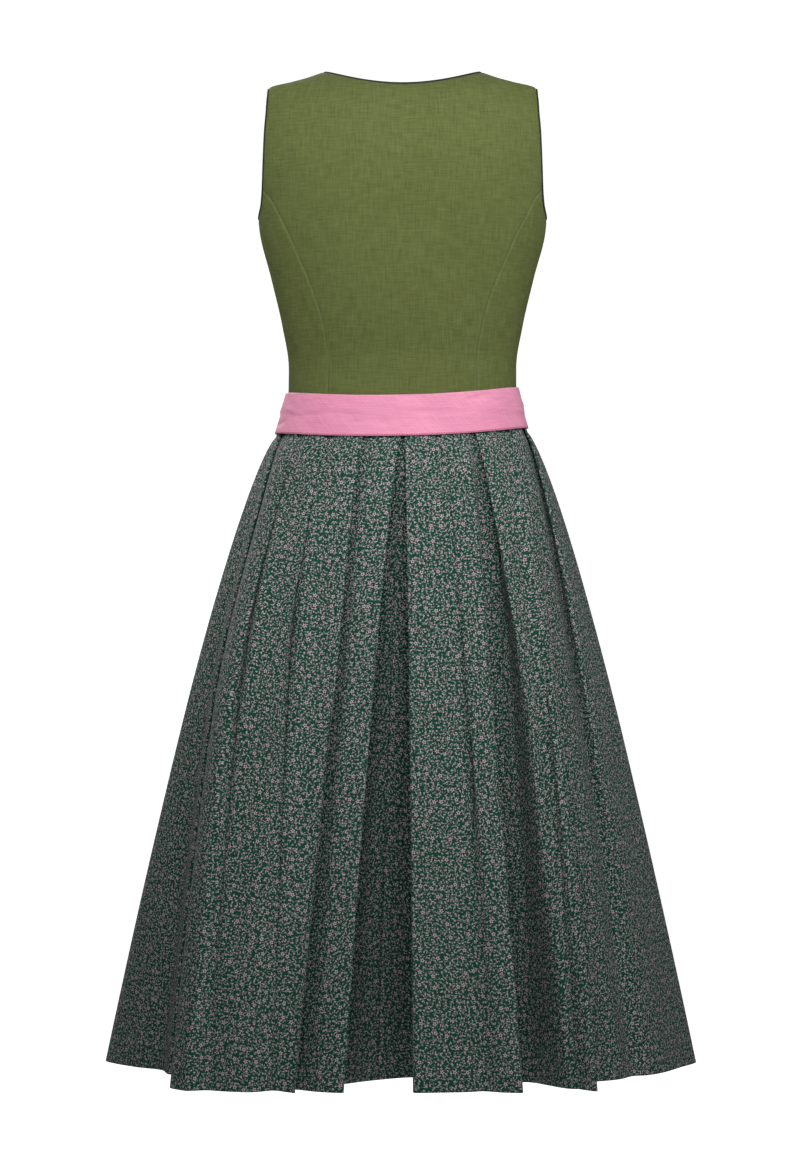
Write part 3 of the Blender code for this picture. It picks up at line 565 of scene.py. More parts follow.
# Soft places where the linen gives, on the wearer's left and right half of the back: x, height,
# half length along the crease, half width across it, its lean in degrees, and its depth.
BACK_CREASES = [
    (-0.130, 0.925, 0.030, 0.010, 52.0, -0.0016),
    (-0.124, 0.900, 0.034, 0.011, 60.0, 0.0011),
    (0.128, 0.918, 0.028, 0.010, -55.0, -0.0011),
    (0.112, 0.800, 0.060, 0.016, 72.0, -0.0010),
    (-0.108, 0.790, 0.055, 0.018, -74.0, -0.0008),
    (0.060, 0.722, 0.045, 0.007, 8.0, -0.0007),
    (-0.050, 0.716, 0.050, 0.006, -5.0, -0.0006),
    (0.010, 0.735, 0.060, 0.009, 2.0, 0.0005),
    (0.030, 0.985, 0.070, 0.020, 84.0, 0.0005),
    (-0.060, 1.000, 0.050, 0.018, -80.0, -0.0005),
]
FRONT_CREASES = [
    (0.118, 0.915, 0.030, 0.010, 50.0, -0.0014),
    (-0.120, 0.912, 0.028, 0.010, -52.0, -0.0013),
    (0.095, 0.760, 0.050, 0.012, 76.0, -0.0009),
    (-0.092, 0.775, 0.052, 0.013, -70.0, -0.0010),
    (0.050, 0.720, 0.040, 0.007, 6.0, -0.0007),
    (-0.052, 0.717, 0.044, 0.007, -8.0, -0.0006),
]


def soft_give(x, height, creases):
    """The sum of the soft ridges and hollows at places on the cloth."""
    total = np.zeros_like(x)
    for at_x, at_height, half_length, half_width, lean, depth in creases:
        dx, dz, turn = x - at_x, height - at_height, radians(lean)
        run = dx * cos(turn) + dz * sin(turn)
        across = dz * cos(turn) - dx * sin(turn)
        total += depth * np.exp(-(run / half_length) ** 2 - (across / half_width) ** 2)
    return total


def flat_sheet(made):
    """Reckon the area of linen that shows on a panel; nothing uses it."""
    bm = bmesh.new()
    bm.from_mesh(made.data)
    area = sum(face.calc_area() for face in bm.faces)
    bm.free()


def panel(name, angle, height, side, front, sewn, anchor, raised=None):
    """One panel from its net of angles and heights, its sewn edges rolled in.

    The warp runs level with the column anchor, which is the panel's straight grain.
    """
    points, outward = on_body(angle, height), off_body(angle, height)
    if raised is not None:
        points = points + outward * raised[..., None]
    mirror = np.array([side, 1.0, 1.0])
    points, outward = points * mirror, outward * mirror
    along_row, up_column = lengths(points, 1), lengths(points, 0)
    edges = {
        "left": along_row,
        "right": along_row[:, -1:] - along_row,
        "bottom": up_column,
        "top": up_column[-1:] - up_column,
    }
    # pressed holds the painted seam highlight, a pale line beside each sewn seam
    sink, pressed = np.zeros(angle.shape), np.zeros(angle.shape)
    for edge, depth in sewn.items():
        away = edges[edge]
        sink = np.maximum(sink, depth * np.exp(-(away / SEAM_WIDTH) ** 2))
        beside = (away - HIGHLIGHT_AWAY * HIGHLIGHT_WIDTH) / HIGHLIGHT_WIDTH
        pressed = np.maximum(pressed, (depth > EDGE_ROLL) * np.exp(-beside ** 2))
    give = soft_give(points[..., 0], height, FRONT_CREASES if front else BACK_CREASES)
    points = points + outward * (give - sink)[..., None]
    grain = side * (along_row - along_row[:, anchor][:, None]) + points[:, anchor, :1]
    made = lay_cloth(name, points, outward, places(grain, height), linen, BODICE_CLOTH, -1.0,
                     {"pressed": pressed * PAINTED_HIGHLIGHT})
    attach(made, "root")
    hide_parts(name.replace("linen_", "bodice_"))
    flat_sheet(made)


# columns across half a panel, rows up the princess seam and rows up the armhole; the same of a
# side panel; rows up the buttoned edge and along the level start of the front neckline
ACROSS, UP_PRINCESS, UP_ARMHOLE = 41, 46, 30
SIDE_ACROSS, UP_SIDE = 33, 52
UP_CLOSING, LEVEL_NECK = 34, 4


def outer_edge(front):
    """A middle panel's outer edge: princess seam, then armhole, up to the shoulder."""
    seam = princess_line(np.linspace(0.0, 1.0, UP_PRINCESS)[:-1], front)
    corner = armhole_corner(front)
    arm = armhole_line(np.linspace(corner, 1.0, UP_ARMHOLE), front)
    return np.concatenate([seam, arm])


# a seam's roll up the princess seam, and the piping's shallow one round the armhole
OUTER_ROLL = np.repeat([SEAM_ROLL, EDGE_ROLL], [UP_PRINCESS, UP_ARMHOLE - 1])[:, None]


def back_middle():
    """From princess seam to princess seam, across the middle of the back."""
    u = closer_at_last(ACROSS)
    right = outer_edge(False)
    rise = WAIST_SEAM + (BACK_NECK - WAIST_SEAM) * closer_at_last(len(right), even=0.3)
    left, bottom = places(0.0, rise), places(right[0][0] * u, WAIST_SEAM)
    neck_share = 0.68
    top = np.where((u < neck_share)[:, None], back_neck_line(u / neck_share),
                   shoulder_line((u - neck_share) / (1.0 - neck_share)))
    half = inside_edges(left, right, bottom, top, u)
    x = np.concatenate([-half[:, :0:-1, 0], half[..., 0]], axis=1)
    height = np.concatenate([half[:, :0:-1, 1], half[..., 1]], axis=1)
    shoulder = np.concatenate([u[:0:-1], u]) > neck_share
    sewn = {"left": OUTER_ROLL, "right": OUTER_ROLL, "bottom": SEAM_ROLL,
            "top": np.where(shoulder, SEAM_ROLL, EDGE_ROLL)[None]}
    panel("linen_back_centre", angle_at(x, height, False), height, 1, False, sewn, ACROSS - 1)


def side_of_body(name, front, side):
    """From a princess seam round to the side seam, the bottom of the armhole on top."""
    corner = armhole_corner(front)
    v = closer_at_last(UP_SIDE)[:, None]
    u = closer_at_ends(SIDE_ACROSS)[None]
    seam = princess_line(v[:, 0], front)
    seam_x, seam_height = seam[:, :1], seam[:, 1:]
    start = angle_at(seam_x, seam_height, front)
    side_angle = pi / 2.0
    top = armhole_line(corner * (1.0 - u[0]), front)
    side_height = WAIST_SEAM + (UNDERARM - WAIST_SEAM) * v
    even = (1.0 - u) * seam_height + u * side_height
    ruled_top = (1.0 - u) * seam_height[-1] + u * UNDERARM
    height = even + v * (top[:, 1][None] - ruled_top)
    bend = angle_at(top[:, 0], top[:, 1], front) - (start[-1] + (side_angle - start[-1]) * u)
    angle = start + (side_angle - start) * u + bend * v ** 3
    sewn = {"left": SEAM_ROLL, "right": SEAM_ROLL, "bottom": SEAM_ROLL, "top": EDGE_ROLL}
    panel(name, angle, height, side, front, sewn, -1)


def front_middle(name, side):
    """A front from its buttoned edge to the princess seam; the wearer's right laps over."""
    u = closer_at_last(ACROSS)
    right = outer_edge(True)
    closing = places(-LAP, np.linspace(WAIST_SEAM, FRONT_NECK, UP_CLOSING))
    level = places(-LAP * (1.0 - np.arange(1, LEVEL_NECK) / LEVEL_NECK), FRONT_NECK)
    scoop_rows = len(right) - UP_CLOSING - LEVEL_NECK + 1
    scoop = front_neck_line(np.linspace(0.0, 1.0, scoop_rows))
    left = np.concatenate([closing, level, scoop])
    bottom = places(-LAP + (right[0][0] + LAP) * u, WAIST_SEAM)
    net = inside_edges(left, right, bottom, shoulder_line(u), u)
    x, height = net[..., 0], net[..., 1]
    closed = np.where(np.arange(len(right)) < UP_CLOSING, 0.0, EDGE_ROLL)[:, None]
    sewn = {"left": closed, "right": OUTER_ROLL, "bottom": SEAM_ROLL, "top": SEAM_ROLL}
    raised = over_lap(x) if side < 0 else None
    panel(name, angle_at(x, height, True), height, side, True, sewn, 0, raised)


back_middle()
for side, hand in SIDES:
    side_of_body("linen_back_side_" + hand, False, side)
    side_of_body("linen_front_side_" + hand, True, side)
    front_middle("linen_front_centre_" + hand, side)


# ---------------------------------------------------------------- the piping
# A thin cord in a bias strip of near-black cotton is sewn into the neckline and both armholes,
# and stands just clear of the linen's edge. The strip's threads run round it at a slant.
PIPING_RADIUS = 0.0011
PIPING_GAP = 0.0002
CORD_SHORT = 0.0035       # how far from the upper lap's end the neck's cord stops
ARMHOLE_STEPS, SCOOP_STEPS, NECK_STEPS = 60, 70, 40     # half an armhole, neck before and behind


def black_piping():
    made, tree, shader = blank_material("black_bias_cotton")
    bias = {"Vector": cloth_place(tree), "Rotation": (0.0, 0.0, radians(45.0))}
    turned = add(tree, "Mapping", bias).outputs["Vector"]
    slubs, weave = threads(tree, turned, thread=0.0003, slub_length=12.0)
    tone = tone_ramp(tree, slubs, [(0.35, (0.012, 0.013, 0.011)), (0.65, (0.034, 0.035, 0.030))])
    cloth_finish(tree, shader, tone, slubs, weave, (0.68, 0.86), 0.00015)
    feed(tree, shader, {"Specular IOR Level": 0.3})
    return made


bias_cotton = black_piping()


def way_along(points, closed):
    """The direction of a run at each of its points."""
    if closed:
        return np.roll(points, -1, axis=0) - np.roll(points, 1, axis=0)
    return np.gradient(points, axis=0)


def cord_round(name, node, centres, ups, closed):
    """A covered cord through a run of centres: a net rolled round them."""
    sides = 12
    along = unit(way_along(centres, closed))
    if closed:
        centres, ups, along = (np.concatenate([run, run[:1]]) for run in (centres, ups, along))
    across = unit(np.cross(along, ups))
    up = np.cross(across, along)
    turn = np.linspace(0.0, 2.0 * pi, sides + 1)[None, :, None]
    points = centres[:, None] + PIPING_RADIUS * (np.cos(turn) * across[:, None]
                                                 + np.sin(turn) * up[:, None])
    flat_place = places(turn[..., 0] * PIPING_RADIUS, lengths(centres, 0)[:, None])
    bm, _ = netted(points, flat_place, {})
    bmesh.ops.remove_doubles(bm, verts=bm.verts, dist=1e-6)
    if not closed:
        bmesh.ops.holes_fill(bm, edges=bm.edges, sides=sides)
    bmesh.ops.recalc_face_normals(bm, faces=bm.faces)
    made = piece_of(bm, name, bias_cotton)
    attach(made, "root")
    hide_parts(node)


def edge_run(edge, front, side, raised=None):
    """Points in the middle of a cut edge's thickness, and the cloth's normals there."""
    x, height = edge[:, 0], edge[:, 1]
    angle = angle_at(x, height, front)
    outward = off_body(angle, height)
    lift = -BODICE_CLOTH / 2.0 if raised is None else (raised - BODICE_CLOTH / 2.0)[:, None]
    mirror = np.array([side, 1.0, 1.0])
    return (on_body(angle, height) + outward * lift) * mirror, outward * mirror


def sewn_along(name, node, runs, side, closed):
    """A cord along runs of edge, its middle off the cloth by its radius and a little."""
    points, outward = (np.concatenate(parts) for parts in zip(*runs))
    away = unit(np.cross(way_along(points, closed), outward))
    centres = points + away * (PIPING_RADIUS + PIPING_GAP) * side
    cord_round(name, node, centres, outward, closed)


def armhole_cord(hand, side):
    """Up the back of the armhole and down its front, closed at the underarm."""
    behind = armhole_line(np.linspace(0.0, 1.0, ARMHOLE_STEPS), False)
    before = armhole_line(np.linspace(1.0, 0.0, ARMHOLE_STEPS)[1:-1], True)
    runs = [edge_run(behind, False, side), edge_run(before, True, side)]
    sewn_along("piping_armhole_" + hand, "armhole_piping_" + hand, runs, -side, True)


def neck_cord():
    """From the end of the upper lap, round the neck, to just short of that end again."""
    flat = places(np.linspace(-LAP, -0.002, 4), FRONT_NECK)
    scoop = front_neck_line(np.linspace(0.0, 1.0, SCOOP_STEPS))
    upper = np.concatenate([flat, scoop])
    lower = scoop[scoop[:, 0] > LAP + CORD_SHORT]
    runs = [
        edge_run(upper[:-1], True, -1, over_lap(upper[:-1, 0])),
        edge_run(back_neck_line(np.linspace(1.0, 0.0, NECK_STEPS)), False, -1),
        edge_run(back_neck_line(np.linspace(0.0, 1.0, NECK_STEPS)[1:]), False, 1),
        edge_run(lower[-2::-1], True, 1),
    ]
    sewn_along("piping_neck", "neck_piping", runs, 1, False)


for side, hand in SIDES:
    armhole_cord(hand, side)
neck_cord()


# ---------------------------------------------------------------- the buttons
# Seven small horn buttons down the centre front, turned with a rim and a shallow dish, each sewn
# through two holes with olive thread over a worked buttonhole in the upper front.
BUTTON_RADIUS = 0.0055
BUTTON_THICKNESS = 0.0024
BUTTON_PITCH = 0.027
LOWEST_BUTTON = 0.726
BUTTON_SHANK = 0.0009
DISH_EDGE = 0.42          # height of the dished face, as a share of half the thickness
HOLE_PITCH = 0.0030       # from one of a button's holes to the other
THREAD_RADIUS = 0.00028
THREAD_LANE = 0.00050     # from one turn of the thread to the next
SHANK_RADIUS = 0.0011
SHANK_SUNK = 0.0002       # how much of the shank is inside the button and the cloth
BUTTONHOLE_HALF = 0.005625      # half of its straight length
BUTTONHOLE_RADIUS = 0.0009
BUTTONHOLE_LIFT = 0.0003
STITCH_WIDTH = 0.0007
STITCH_HEIGHT = 0.0005
HARD_EDGE = 50.0          # degrees; the faces of the closure's pieces meet sharply beyond it


def brown_horn():
    made, tree, shader = blank_material("polished_horn")
    place = add(tree, "TexCoord").outputs["Object"]
    streak = add(tree, "Mapping", {"Vector": place, "Scale": (900.0, 900.0, 140.0)})
    grain = add(tree, "TexNoise", {"Vector": streak.outputs["Vector"], "Scale": 1.0,
                                   "Detail": 4.0, "Distortion": 0.8}).outputs["Fac"]
    tone = tone_ramp(tree, grain, [(0.30, (0.022, 0.017, 0.010)), (0.52, (0.060, 0.050, 0.030)),
                                   (0.75, (0.150, 0.125, 0.080))])
    feed(tree, shader, {"Base Color": tone, "Roughness": ranged(tree, grain, 0.0, 1.0, 0.28, 0.46),
                        "Normal": bumped(tree, grain, 0.0001, 0.3)})
    return made


def olive_thread():
    made, tree, shader = blank_material("olive_sewing_thread")
    place = add(tree, "TexCoord").outputs["Object"]
    ply = add(tree, "TexWave", {"Vector": place, "Scale": 1500.0, "Distortion": 1.5},
              bands_direction="DIAGONAL").outputs["Fac"]
    tone = tone_ramp(tree, ply, [(0.0, (0.060, 0.078, 0.026)), (1.0, (0.150, 0.180, 0.074))])
    feed(tree, shader, {"Base Color": tone, "Roughness": 0.6,
                        "Normal": bumped(tree, ply, 0.0001, 0.5)})
    return made


horn, thread = brown_horn(), olive_thread()


def seated(bm, height, lift_off):
    """Turn a piece made flat round the origin to face out of the centre front, and place it."""
    seat = on_body(np.array(pi), np.array(height))
    outward = off_body(np.array(pi), np.array(height))
    tip = np.arcsin(outward[2])
    bmesh.ops.rotate(bm, verts=bm.verts, cent=(0.0, 0.0, 0.0),
                     matrix=Matrix.Rotation(pi / 2.0 - tip, 3, "X"))
    bmesh.ops.translate(bm, verts=bm.verts, vec=seat + outward * lift_off)


def finished(bm, name, stuff):
    """A piece of the closure, with its hard edges kept."""
    made = piece_of(bm, name, stuff)
    made.data.set_sharp_from_angle(angle=radians(HARD_EDGE))
    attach(made, "root")
    return made


def turned_button(number, height):
    """A profile spun round the button's axis: domed back, rounded rim, dished face."""
    half = BUTTON_THICKNESS / 2.0
    profile = [(0.0, -half), (0.62, -half), (0.93, -0.55 * half), (1.0, 0.0), (0.97, 0.55 * half),
               (0.88, 0.95 * half), (0.80, half), (0.72, 0.90 * half), (0.60, DISH_EDGE * half),
               (0.0, 0.30 * half)]
    bm = spun([(BUTTON_RADIUS * radius, z) for radius, z in profile], steps=32)
    seated(bm, height, LAP_RISE + BUTTON_SHANK + half)
    made = finished(bm, f"horn_button_{number}", horn)
    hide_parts(f"button_{number}")


def rod(bm, sides, radius, length):
    """A round rod along the upright axis, as its vertices."""
    return bmesh.ops.create_cone(bm, cap_ends=True, segments=sides, radius1=radius,
                                 radius2=radius, depth=length)["verts"]


def sewn_on(number, height):
    """Three turns of thread between the button's two holes, and the shank under it."""
    bm = bmesh.new()
    half = BUTTON_THICKNESS / 2.0
    level = Matrix.Rotation(pi / 2.0, 3, "X")
    for lane in (-THREAD_LANE, 0.0, THREAD_LANE):
        made = rod(bm, sides=8, radius=THREAD_RADIUS, length=HOLE_PITCH)
        bmesh.ops.rotate(bm, verts=made, cent=(0.0, 0.0, 0.0), matrix=level)
        bmesh.ops.translate(bm, verts=made, vec=(lane, 0.0, DISH_EDGE * half))
    shank = rod(bm, sides=12, radius=SHANK_RADIUS, length=BUTTON_SHANK + SHANK_SUNK)
    bmesh.ops.translate(bm, verts=shank, vec=(0.0, 0.0, -half - BUTTON_SHANK / 2.0))
    seated(bm, height, LAP_RISE + BUTTON_SHANK + half)
    made = finished(bm, f"button_thread_{number}", thread)


def worked_buttonhole(number, height):
    """A level slot edged with close stitches, that runs outward from under the button."""
    bm = bmesh.new()
    rim, steps = [], 32
    for step in range(steps):
        turn = 2.0 * pi * step / steps
        end = BUTTONHOLE_HALF if cos(turn) > 0.0 else -BUTTONHOLE_HALF
        x = end + BUTTONHOLE_RADIUS * cos(turn)
        rim.append(bm.verts.new((x, BUTTONHOLE_RADIUS * sin(turn), 0.0)))
    bm.faces.new(rim)
    inner = bmesh.ops.inset_region(bm, faces=bm.faces[:], thickness=STITCH_WIDTH,
                                   use_even_offset=True)["faces"]
    bmesh.ops.translate(bm, verts=list({v for f in inner for v in f.verts}),
                        vec=(0.0, 0.0, STITCH_HEIGHT))
    seated(bm, height, LAP_RISE + BUTTONHOLE_LIFT)
    bmesh.ops.recalc_face_normals(bm, faces=bm.faces)
    made = finished(bm, f"buttonhole_{number}", thread)


for number in range(1, 8):
    height = LOWEST_BUTTON + BUTTON_PITCH * (number - 1)
    turned_button(number, height)
    sewn_on(number, height)
    worked_buttonhole(number, height)


# ---------------------------------------------------------------- the sash
# A plain strip of rose cotton sateen, doubled and turned in at its edges, goes once round the
# waist over the seam and hooks on itself at the centre front. A row of deeper pink stitches
# closes its lower edge.
LAYER = 0.0019            # from one layer of a pressed pleat to the next
SKIRT_WALL = 0.0012       # room for the thickest cotton under the sash
SASH_CLEARANCE = 0.0010
SASH_HUG = 0.0006         # from the bodice to the sash's upper edge
SASH_CLOTH = 0.0013
SASH_FOOT = 0.660
SASH_TOP = 0.703
SASH_HEIGHT = SASH_TOP - SASH_FOOT
SASH_RISE = 0.0085        # how much higher it lies at the sides
SASH_TILT = 0.0030        # and how much of that moves from the wearer's left to the right
SASH_TUCK = 12.0          # degrees of lap at the front
CLOSING_FROM = 0.681      # above this the sash closes in on the bodice
CLOSED_BEYOND = 0.009     # and would meet it this far past its own upper edge
SASH_LAP_GAP = 0.0010     # between the lap's two ends
LAP_CLIMB = (0.90, 0.955) # the shares of the way round where the upper end rises
SASH_EDGE_ROLL = 0.0004
SASH_EDGE_WIDTH = 0.0012
SKIRT_TOP = 0.6845        # the skirt's sewn edge, hidden under the sash
PLEATS_FREE = 0.656       # below this the pleats come out from under the sash
# height, half width, depth behind and before, and y of the ring that the pleats lie on
PLEAT_RING = [(PLEATS_FREE, 0.1323, 0.1024, 0.1154, -0.015),
              (SKIRT_TOP, 0.1235, 0.0930, 0.1060, -0.015)]
# Creases along the sash: degrees round from the centre back, share of the way up, half length in
# degrees, half width as a share of the height, lean in shares per degree, and rise in metres.
SASH_CREASES = [
    (62.0, 0.56, 9.0, 0.055, 0.006, 0.0017),
    (44.0, 0.50, 12.0, 0.050, -0.004, -0.0014),
    (20.0, 0.62, 14.0, 0.060, 0.003, 0.0012),
    (6.0, 0.36, 15.0, 0.070, -0.002, -0.0012),
    (-10.0, 0.68, 13.0, 0.050, 0.004, 0.0012),
    (-24.0, 0.42, 12.0, 0.055, 0.002, 0.0014),
    (-36.0, 0.84, 7.0, 0.060, -0.005, -0.0020),
    (-47.0, 0.52, 9.0, 0.060, 0.005, 0.0014),
    (-70.0, 0.42, 10.0, 0.070, 0.003, 0.0017),
    (75.0, 0.24, 8.0, 0.060, -0.006, -0.0014),
    (98.0, 0.60, 12.0, 0.060, 0.004, 0.0014),
    (121.0, 0.38, 12.0, 0.055, -0.003, -0.0014),
    (148.0, 0.58, 14.0, 0.060, 0.002, 0.0014),
    (-98.0, 0.62, 11.0, 0.060, -0.004, 0.0014),
    (-124.0, 0.40, 13.0, 0.055, 0.003, -0.0014),
    (-152.0, 0.64, 12.0, 0.060, -0.002, 0.0012),
]


def ring_out(angle, height):
    """The level direction straight out of the ring of pleats."""
    turn = 0.02
    along = ring_point(PLEAT_RING, angle + turn, height)
    along = along - ring_point(PLEAT_RING, angle - turn, height)
    return unit(places(-along[..., 1], along[..., 0], 0.0))


def sash_rise(angle):
    """How much higher the sash lies than it does at the centre back."""
    return SASH_RISE * np.sin(angle) ** 2 - SASH_TILT * np.sin(angle)


def sash_inside(angle, height):
    """The sash's inner face: over the pleats below, closing in on the bodice above."""
    out = ring_out(angle, height)
    over_pleats = ring_point(PLEAT_RING, angle, height)
    over_pleats[..., 2] = height - SHOULDER_HEIGHT
    stack = 2.0 * LAYER + SKIRT_WALL / 2.0 + SASH_CLEARANCE
    on_bodice = ring_point(BODY, angle, height)
    over_front = np.where(np.cos(angle) < 0.0, over_lap(np.abs(on_bodice[..., 0])), 0.0)
    on_bodice = on_bodice + out * (SASH_HUG + over_front)[..., None]
    meets = SASH_TOP + sash_rise(angle) + CLOSED_BEYOND
    closed = ease(CLOSING_FROM, meets, height)[..., None]
    return (1.0 - closed) * (over_pleats + out * stack) + closed * on_bodice, out


def rose_sateen():
    made, tree, shader = blank_material("rose_cotton_sateen")
    place = cloth_place(tree)
    slubs, weave = threads(tree, place, thread=0.0004, slub_length=30.0)
    yarn = tone_ramp(tree, slubs, [(0.34, (0.76, 0.262, 0.410)), (0.50, (0.86, 0.320, 0.480)),
                                   (0.68, (0.92, 0.375, 0.535))])
    # painted shade and light: soft random patches, darker and lighter, standing for the shading of
    # the sash's soft creases
    soft = tone_ramp(tree, clouds(tree, place, scale=22.0, detail=3.0)["Fac"],
                     [(0.32, (0.90, 0.86, 0.90)), (0.68, (1.0, 1.0, 1.0))])
    mottled_yarn = blend_colours(tree, 1.0, yarn, soft, "MULTIPLY")
    parts = add(tree, "SeparateXYZ", {"Vector": place}).outputs
    stitch_pitch, stitch_length, line_height, line_half_width = 0.0026, 0.0019, 0.0012, 0.0004
    beat = maths(tree, "MODULO", parts["X"], stitch_pitch)
    dash = maths(tree, "LESS_THAN", beat, stitch_length)
    line = maths(tree, "COMPARE", parts["Y"], line_height, line_half_width)
    stitch = maths(tree, "MULTIPLY", dash, line)
    sewn = blend_colours(tree, stitch, mottled_yarn, (0.50, 0.085, 0.165))
    raised = maths(tree, "MULTIPLY_ADD", stitch, 2.0, weave)
    cloth_finish(tree, shader, sewn, slubs, raised, (0.56, 0.72), 0.00022)
    feed(tree, shader, {"Sheen Weight": 0.08, "Specular IOR Level": 0.3})
    return made


def waist_sash():
    """Once round and past its own start, its two long edges rolled in."""
    cols, rows, even = 321, 25, 0.45
    turn = np.linspace(0.0, 1.0, cols)[None]
    up = even * np.linspace(0.0, 1.0, rows) + (1.0 - even) * closer_at_ends(rows)
    up = up[:, None]
    angle = radians(-180.0 - SASH_TUCK / 2.0) + radians(360.0 + SASH_TUCK) * turn
    height = SASH_FOOT + sash_rise(angle) + SASH_HEIGHT * up
    angle, height = np.broadcast_arrays(angle, height)
    inside, out = sash_inside(angle, height)
    lapped = (SASH_CLOTH + SASH_LAP_GAP) * ease(*LAP_CLIMB, turn)
    rise = np.zeros_like(height)
    degrees = np.degrees(angle)
    for at, share, half_length, half_width, lean, lift in SASH_CREASES:
        away = degrees - at
        across = (up - share - lean * away) / half_width
        rise += lift * np.exp(-(away / half_length) ** 2 - across ** 2)
    edge = np.minimum(up, 1.0 - up) * SASH_HEIGHT
    rise -= SASH_EDGE_ROLL * np.exp(-(edge / SASH_EDGE_WIDTH) ** 2)
    points = inside + out * (SASH_CLOTH / 2.0 + lapped + rise)[..., None]
    flat_place = places(lengths(points, 1), up * SASH_HEIGHT)
    made = lay_cloth("sash_band", points, out, flat_place, rose_sateen(), SASH_CLOTH, 0.0)
    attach(made, "root")
    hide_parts("waist_sash")


waist_sash()


# ---------------------------------------------------------------- the skirt
# Four widths of bottle-green cotton, printed all over with small dusty-pink sprigs, are sewn at
# the sides, the centre back and the centre front. Ten pleats behind and ten before are pressed
# one over the next and sewn to the waist. Below the sash each pleat opens in its own time.
SPREAD = 0.77             # the skirt opens with this power of the way down
LATE_FROM = 0.45          # how far down a fold is as late, or as early, as it will be
OUTWARD_SHARE = 0.3       # a late or early fold is only so far late or early in its depth
LEVEL_BELOW = 0.250       # from here up, the cloth is drawn up with the sash's rise
SOFTEST_TURN = 0.012      # the least rounding of the hem at a sharp fold
FOLD_SHARE = 0.10         # part of the way to the next row that a fold's turn takes
PRESSED_TURN = 0.0022     # metres round the ring for a degree
SKIRT_CLOTH = 0.0006
COLUMN_PITCH = 0.0045     # at the hem
FEWEST_COLUMNS = 5        # from one row to the next
FOLD_COLUMNS = 7          # round a fold
OPENED = 0.600            # below this height the net's rows are even
HEM_STRIP = 0.010
CREASE_GROWS = 0.16       # a crease takes this height to grow to its full depth
CREASE_DIES = 0.14
Row = namedtuple("Row", "fold layer waist_deg hem_x hem_y late")
# A pleat's edge and its tuck are folds. The rest is flat, on the pressed layer that it lies on.
KINDS = {"edge": (True, 1.5), "tuck": (True, 0.5), "foot": (False, 0.0), "dip": (False, 1.0),
         "top": (False, 2.0)}


def rows_of(*lines):
    """Rows from (kind, degrees at the waist, hem x and y, how late)."""
    return [Row(*KINDS[kind], *numbers) for kind, *numbers in lines]


# The cloth in its order from the wearer's left side to the centre back and on to the right side:
# what each line down the cloth is, where it lies at the waist, in degrees, where it lies at the
# hem, and how late on the way down it gets there.
LEFT_SEAM = rows_of(("top", 86.5, 0.3150, -0.008, 1.0))[0]
BACK_LEFT = rows_of(
    ("top", 83.0, 0.280, 0.051, 0.85),        # side swell
    ("top", 79.0, 0.251, 0.078, 0.75),        # side hollow
    ("edge", 74.5, 0.240, 0.117, 0.70),       # pleat 1
    ("tuck", 82.5, 0.219, 0.108, 0.70),
    ("foot", 72.5, 0.233, 0.230, 0.70),       # pleat 2
    ("top", 65.5, 0.226, 0.243, 0.70),
    ("edge", 54.0, 0.215, 0.254, 0.70),
    ("tuck", 62.5, 0.196, 0.249, 0.70),
    ("foot", 52.0, 0.182, 0.256, 0.70),       # pleat 3
    ("top", 47.5, 0.168, 0.262, 0.65),
    ("edge", 36.0, 0.150, 0.265, 0.65),
    ("tuck", 44.5, 0.132, 0.254, 0.70),
    ("foot", 34.0, 0.122, 0.257, 0.90),       # pleat 4
    ("top", 28.0, 0.114, 0.265, 1.15),
    ("edge", 16.3, 0.106, 0.270, 1.20),
    ("tuck", 25.0, 0.135, 0.228, 1.20),
    ("foot", 14.3, 0.106, 0.244, 1.20),       # pleat 5
    ("top", 11.5, 0.084, 0.262, 1.10),
    ("edge", 1.2, 0.059, 0.270, 1.05),
    ("tuck", 9.0, 0.092, 0.215, 1.05),
    ("foot", 4.0, 0.057, 0.196, 1.05),        # recess left
)
CENTRE_BACK = rows_of(("foot", 0.0, 0.025, 0.163, 1.05))[0]
BACK_RIGHT = rows_of(
    ("foot", -4.0, -0.010, 0.142, 1.05),      # recess right
    ("tuck", -9.0, -0.034, 0.150, 1.0),       # pleat 6
    ("edge", -1.2, -0.012, 0.270, 1.0),
    ("top", -11.5, -0.045, 0.267, 1.0),
    ("foot", -14.0, -0.066, 0.263, 1.15),     # pleat 7
    ("tuck", -24.5, -0.081, 0.257, 1.15),
    ("edge", -16.0, -0.099, 0.267, 1.15),
    ("top", -27.0, -0.119, 0.270, 1.10),
    ("foot", -31.5, -0.104, 0.195, 0.95),     # pleat 8
    ("tuck", -42.0, -0.126, 0.182, 0.85),
    ("edge", -33.5, -0.161, 0.230, 0.80),
    ("top", -44.5, -0.167, 0.237, 0.85),
    ("foot", -56.0, -0.171, 0.238, 0.95),     # pleat 9
    ("tuck", -66.5, -0.176, 0.239, 0.95),
    ("edge", -58.0, -0.184, 0.249, 0.95),
    ("top", -69.0, -0.194, 0.257, 1.0),
    ("dip", -75.0, -0.180, 0.196, 1.0),       # side recess
    ("foot", -80.5, -0.222, 0.158, 1.0),      # pleat 10
    ("tuck", -91.0, -0.238, 0.130, 1.0),
    ("edge", -82.0, -0.252, 0.124, 1.0),
    ("top", -88.5, -0.293, 0.050, 1.0),       # side fall
)
RIGHT_SEAM = rows_of(("top", -93.5, -0.3105, 0.003, 1.0))[0]


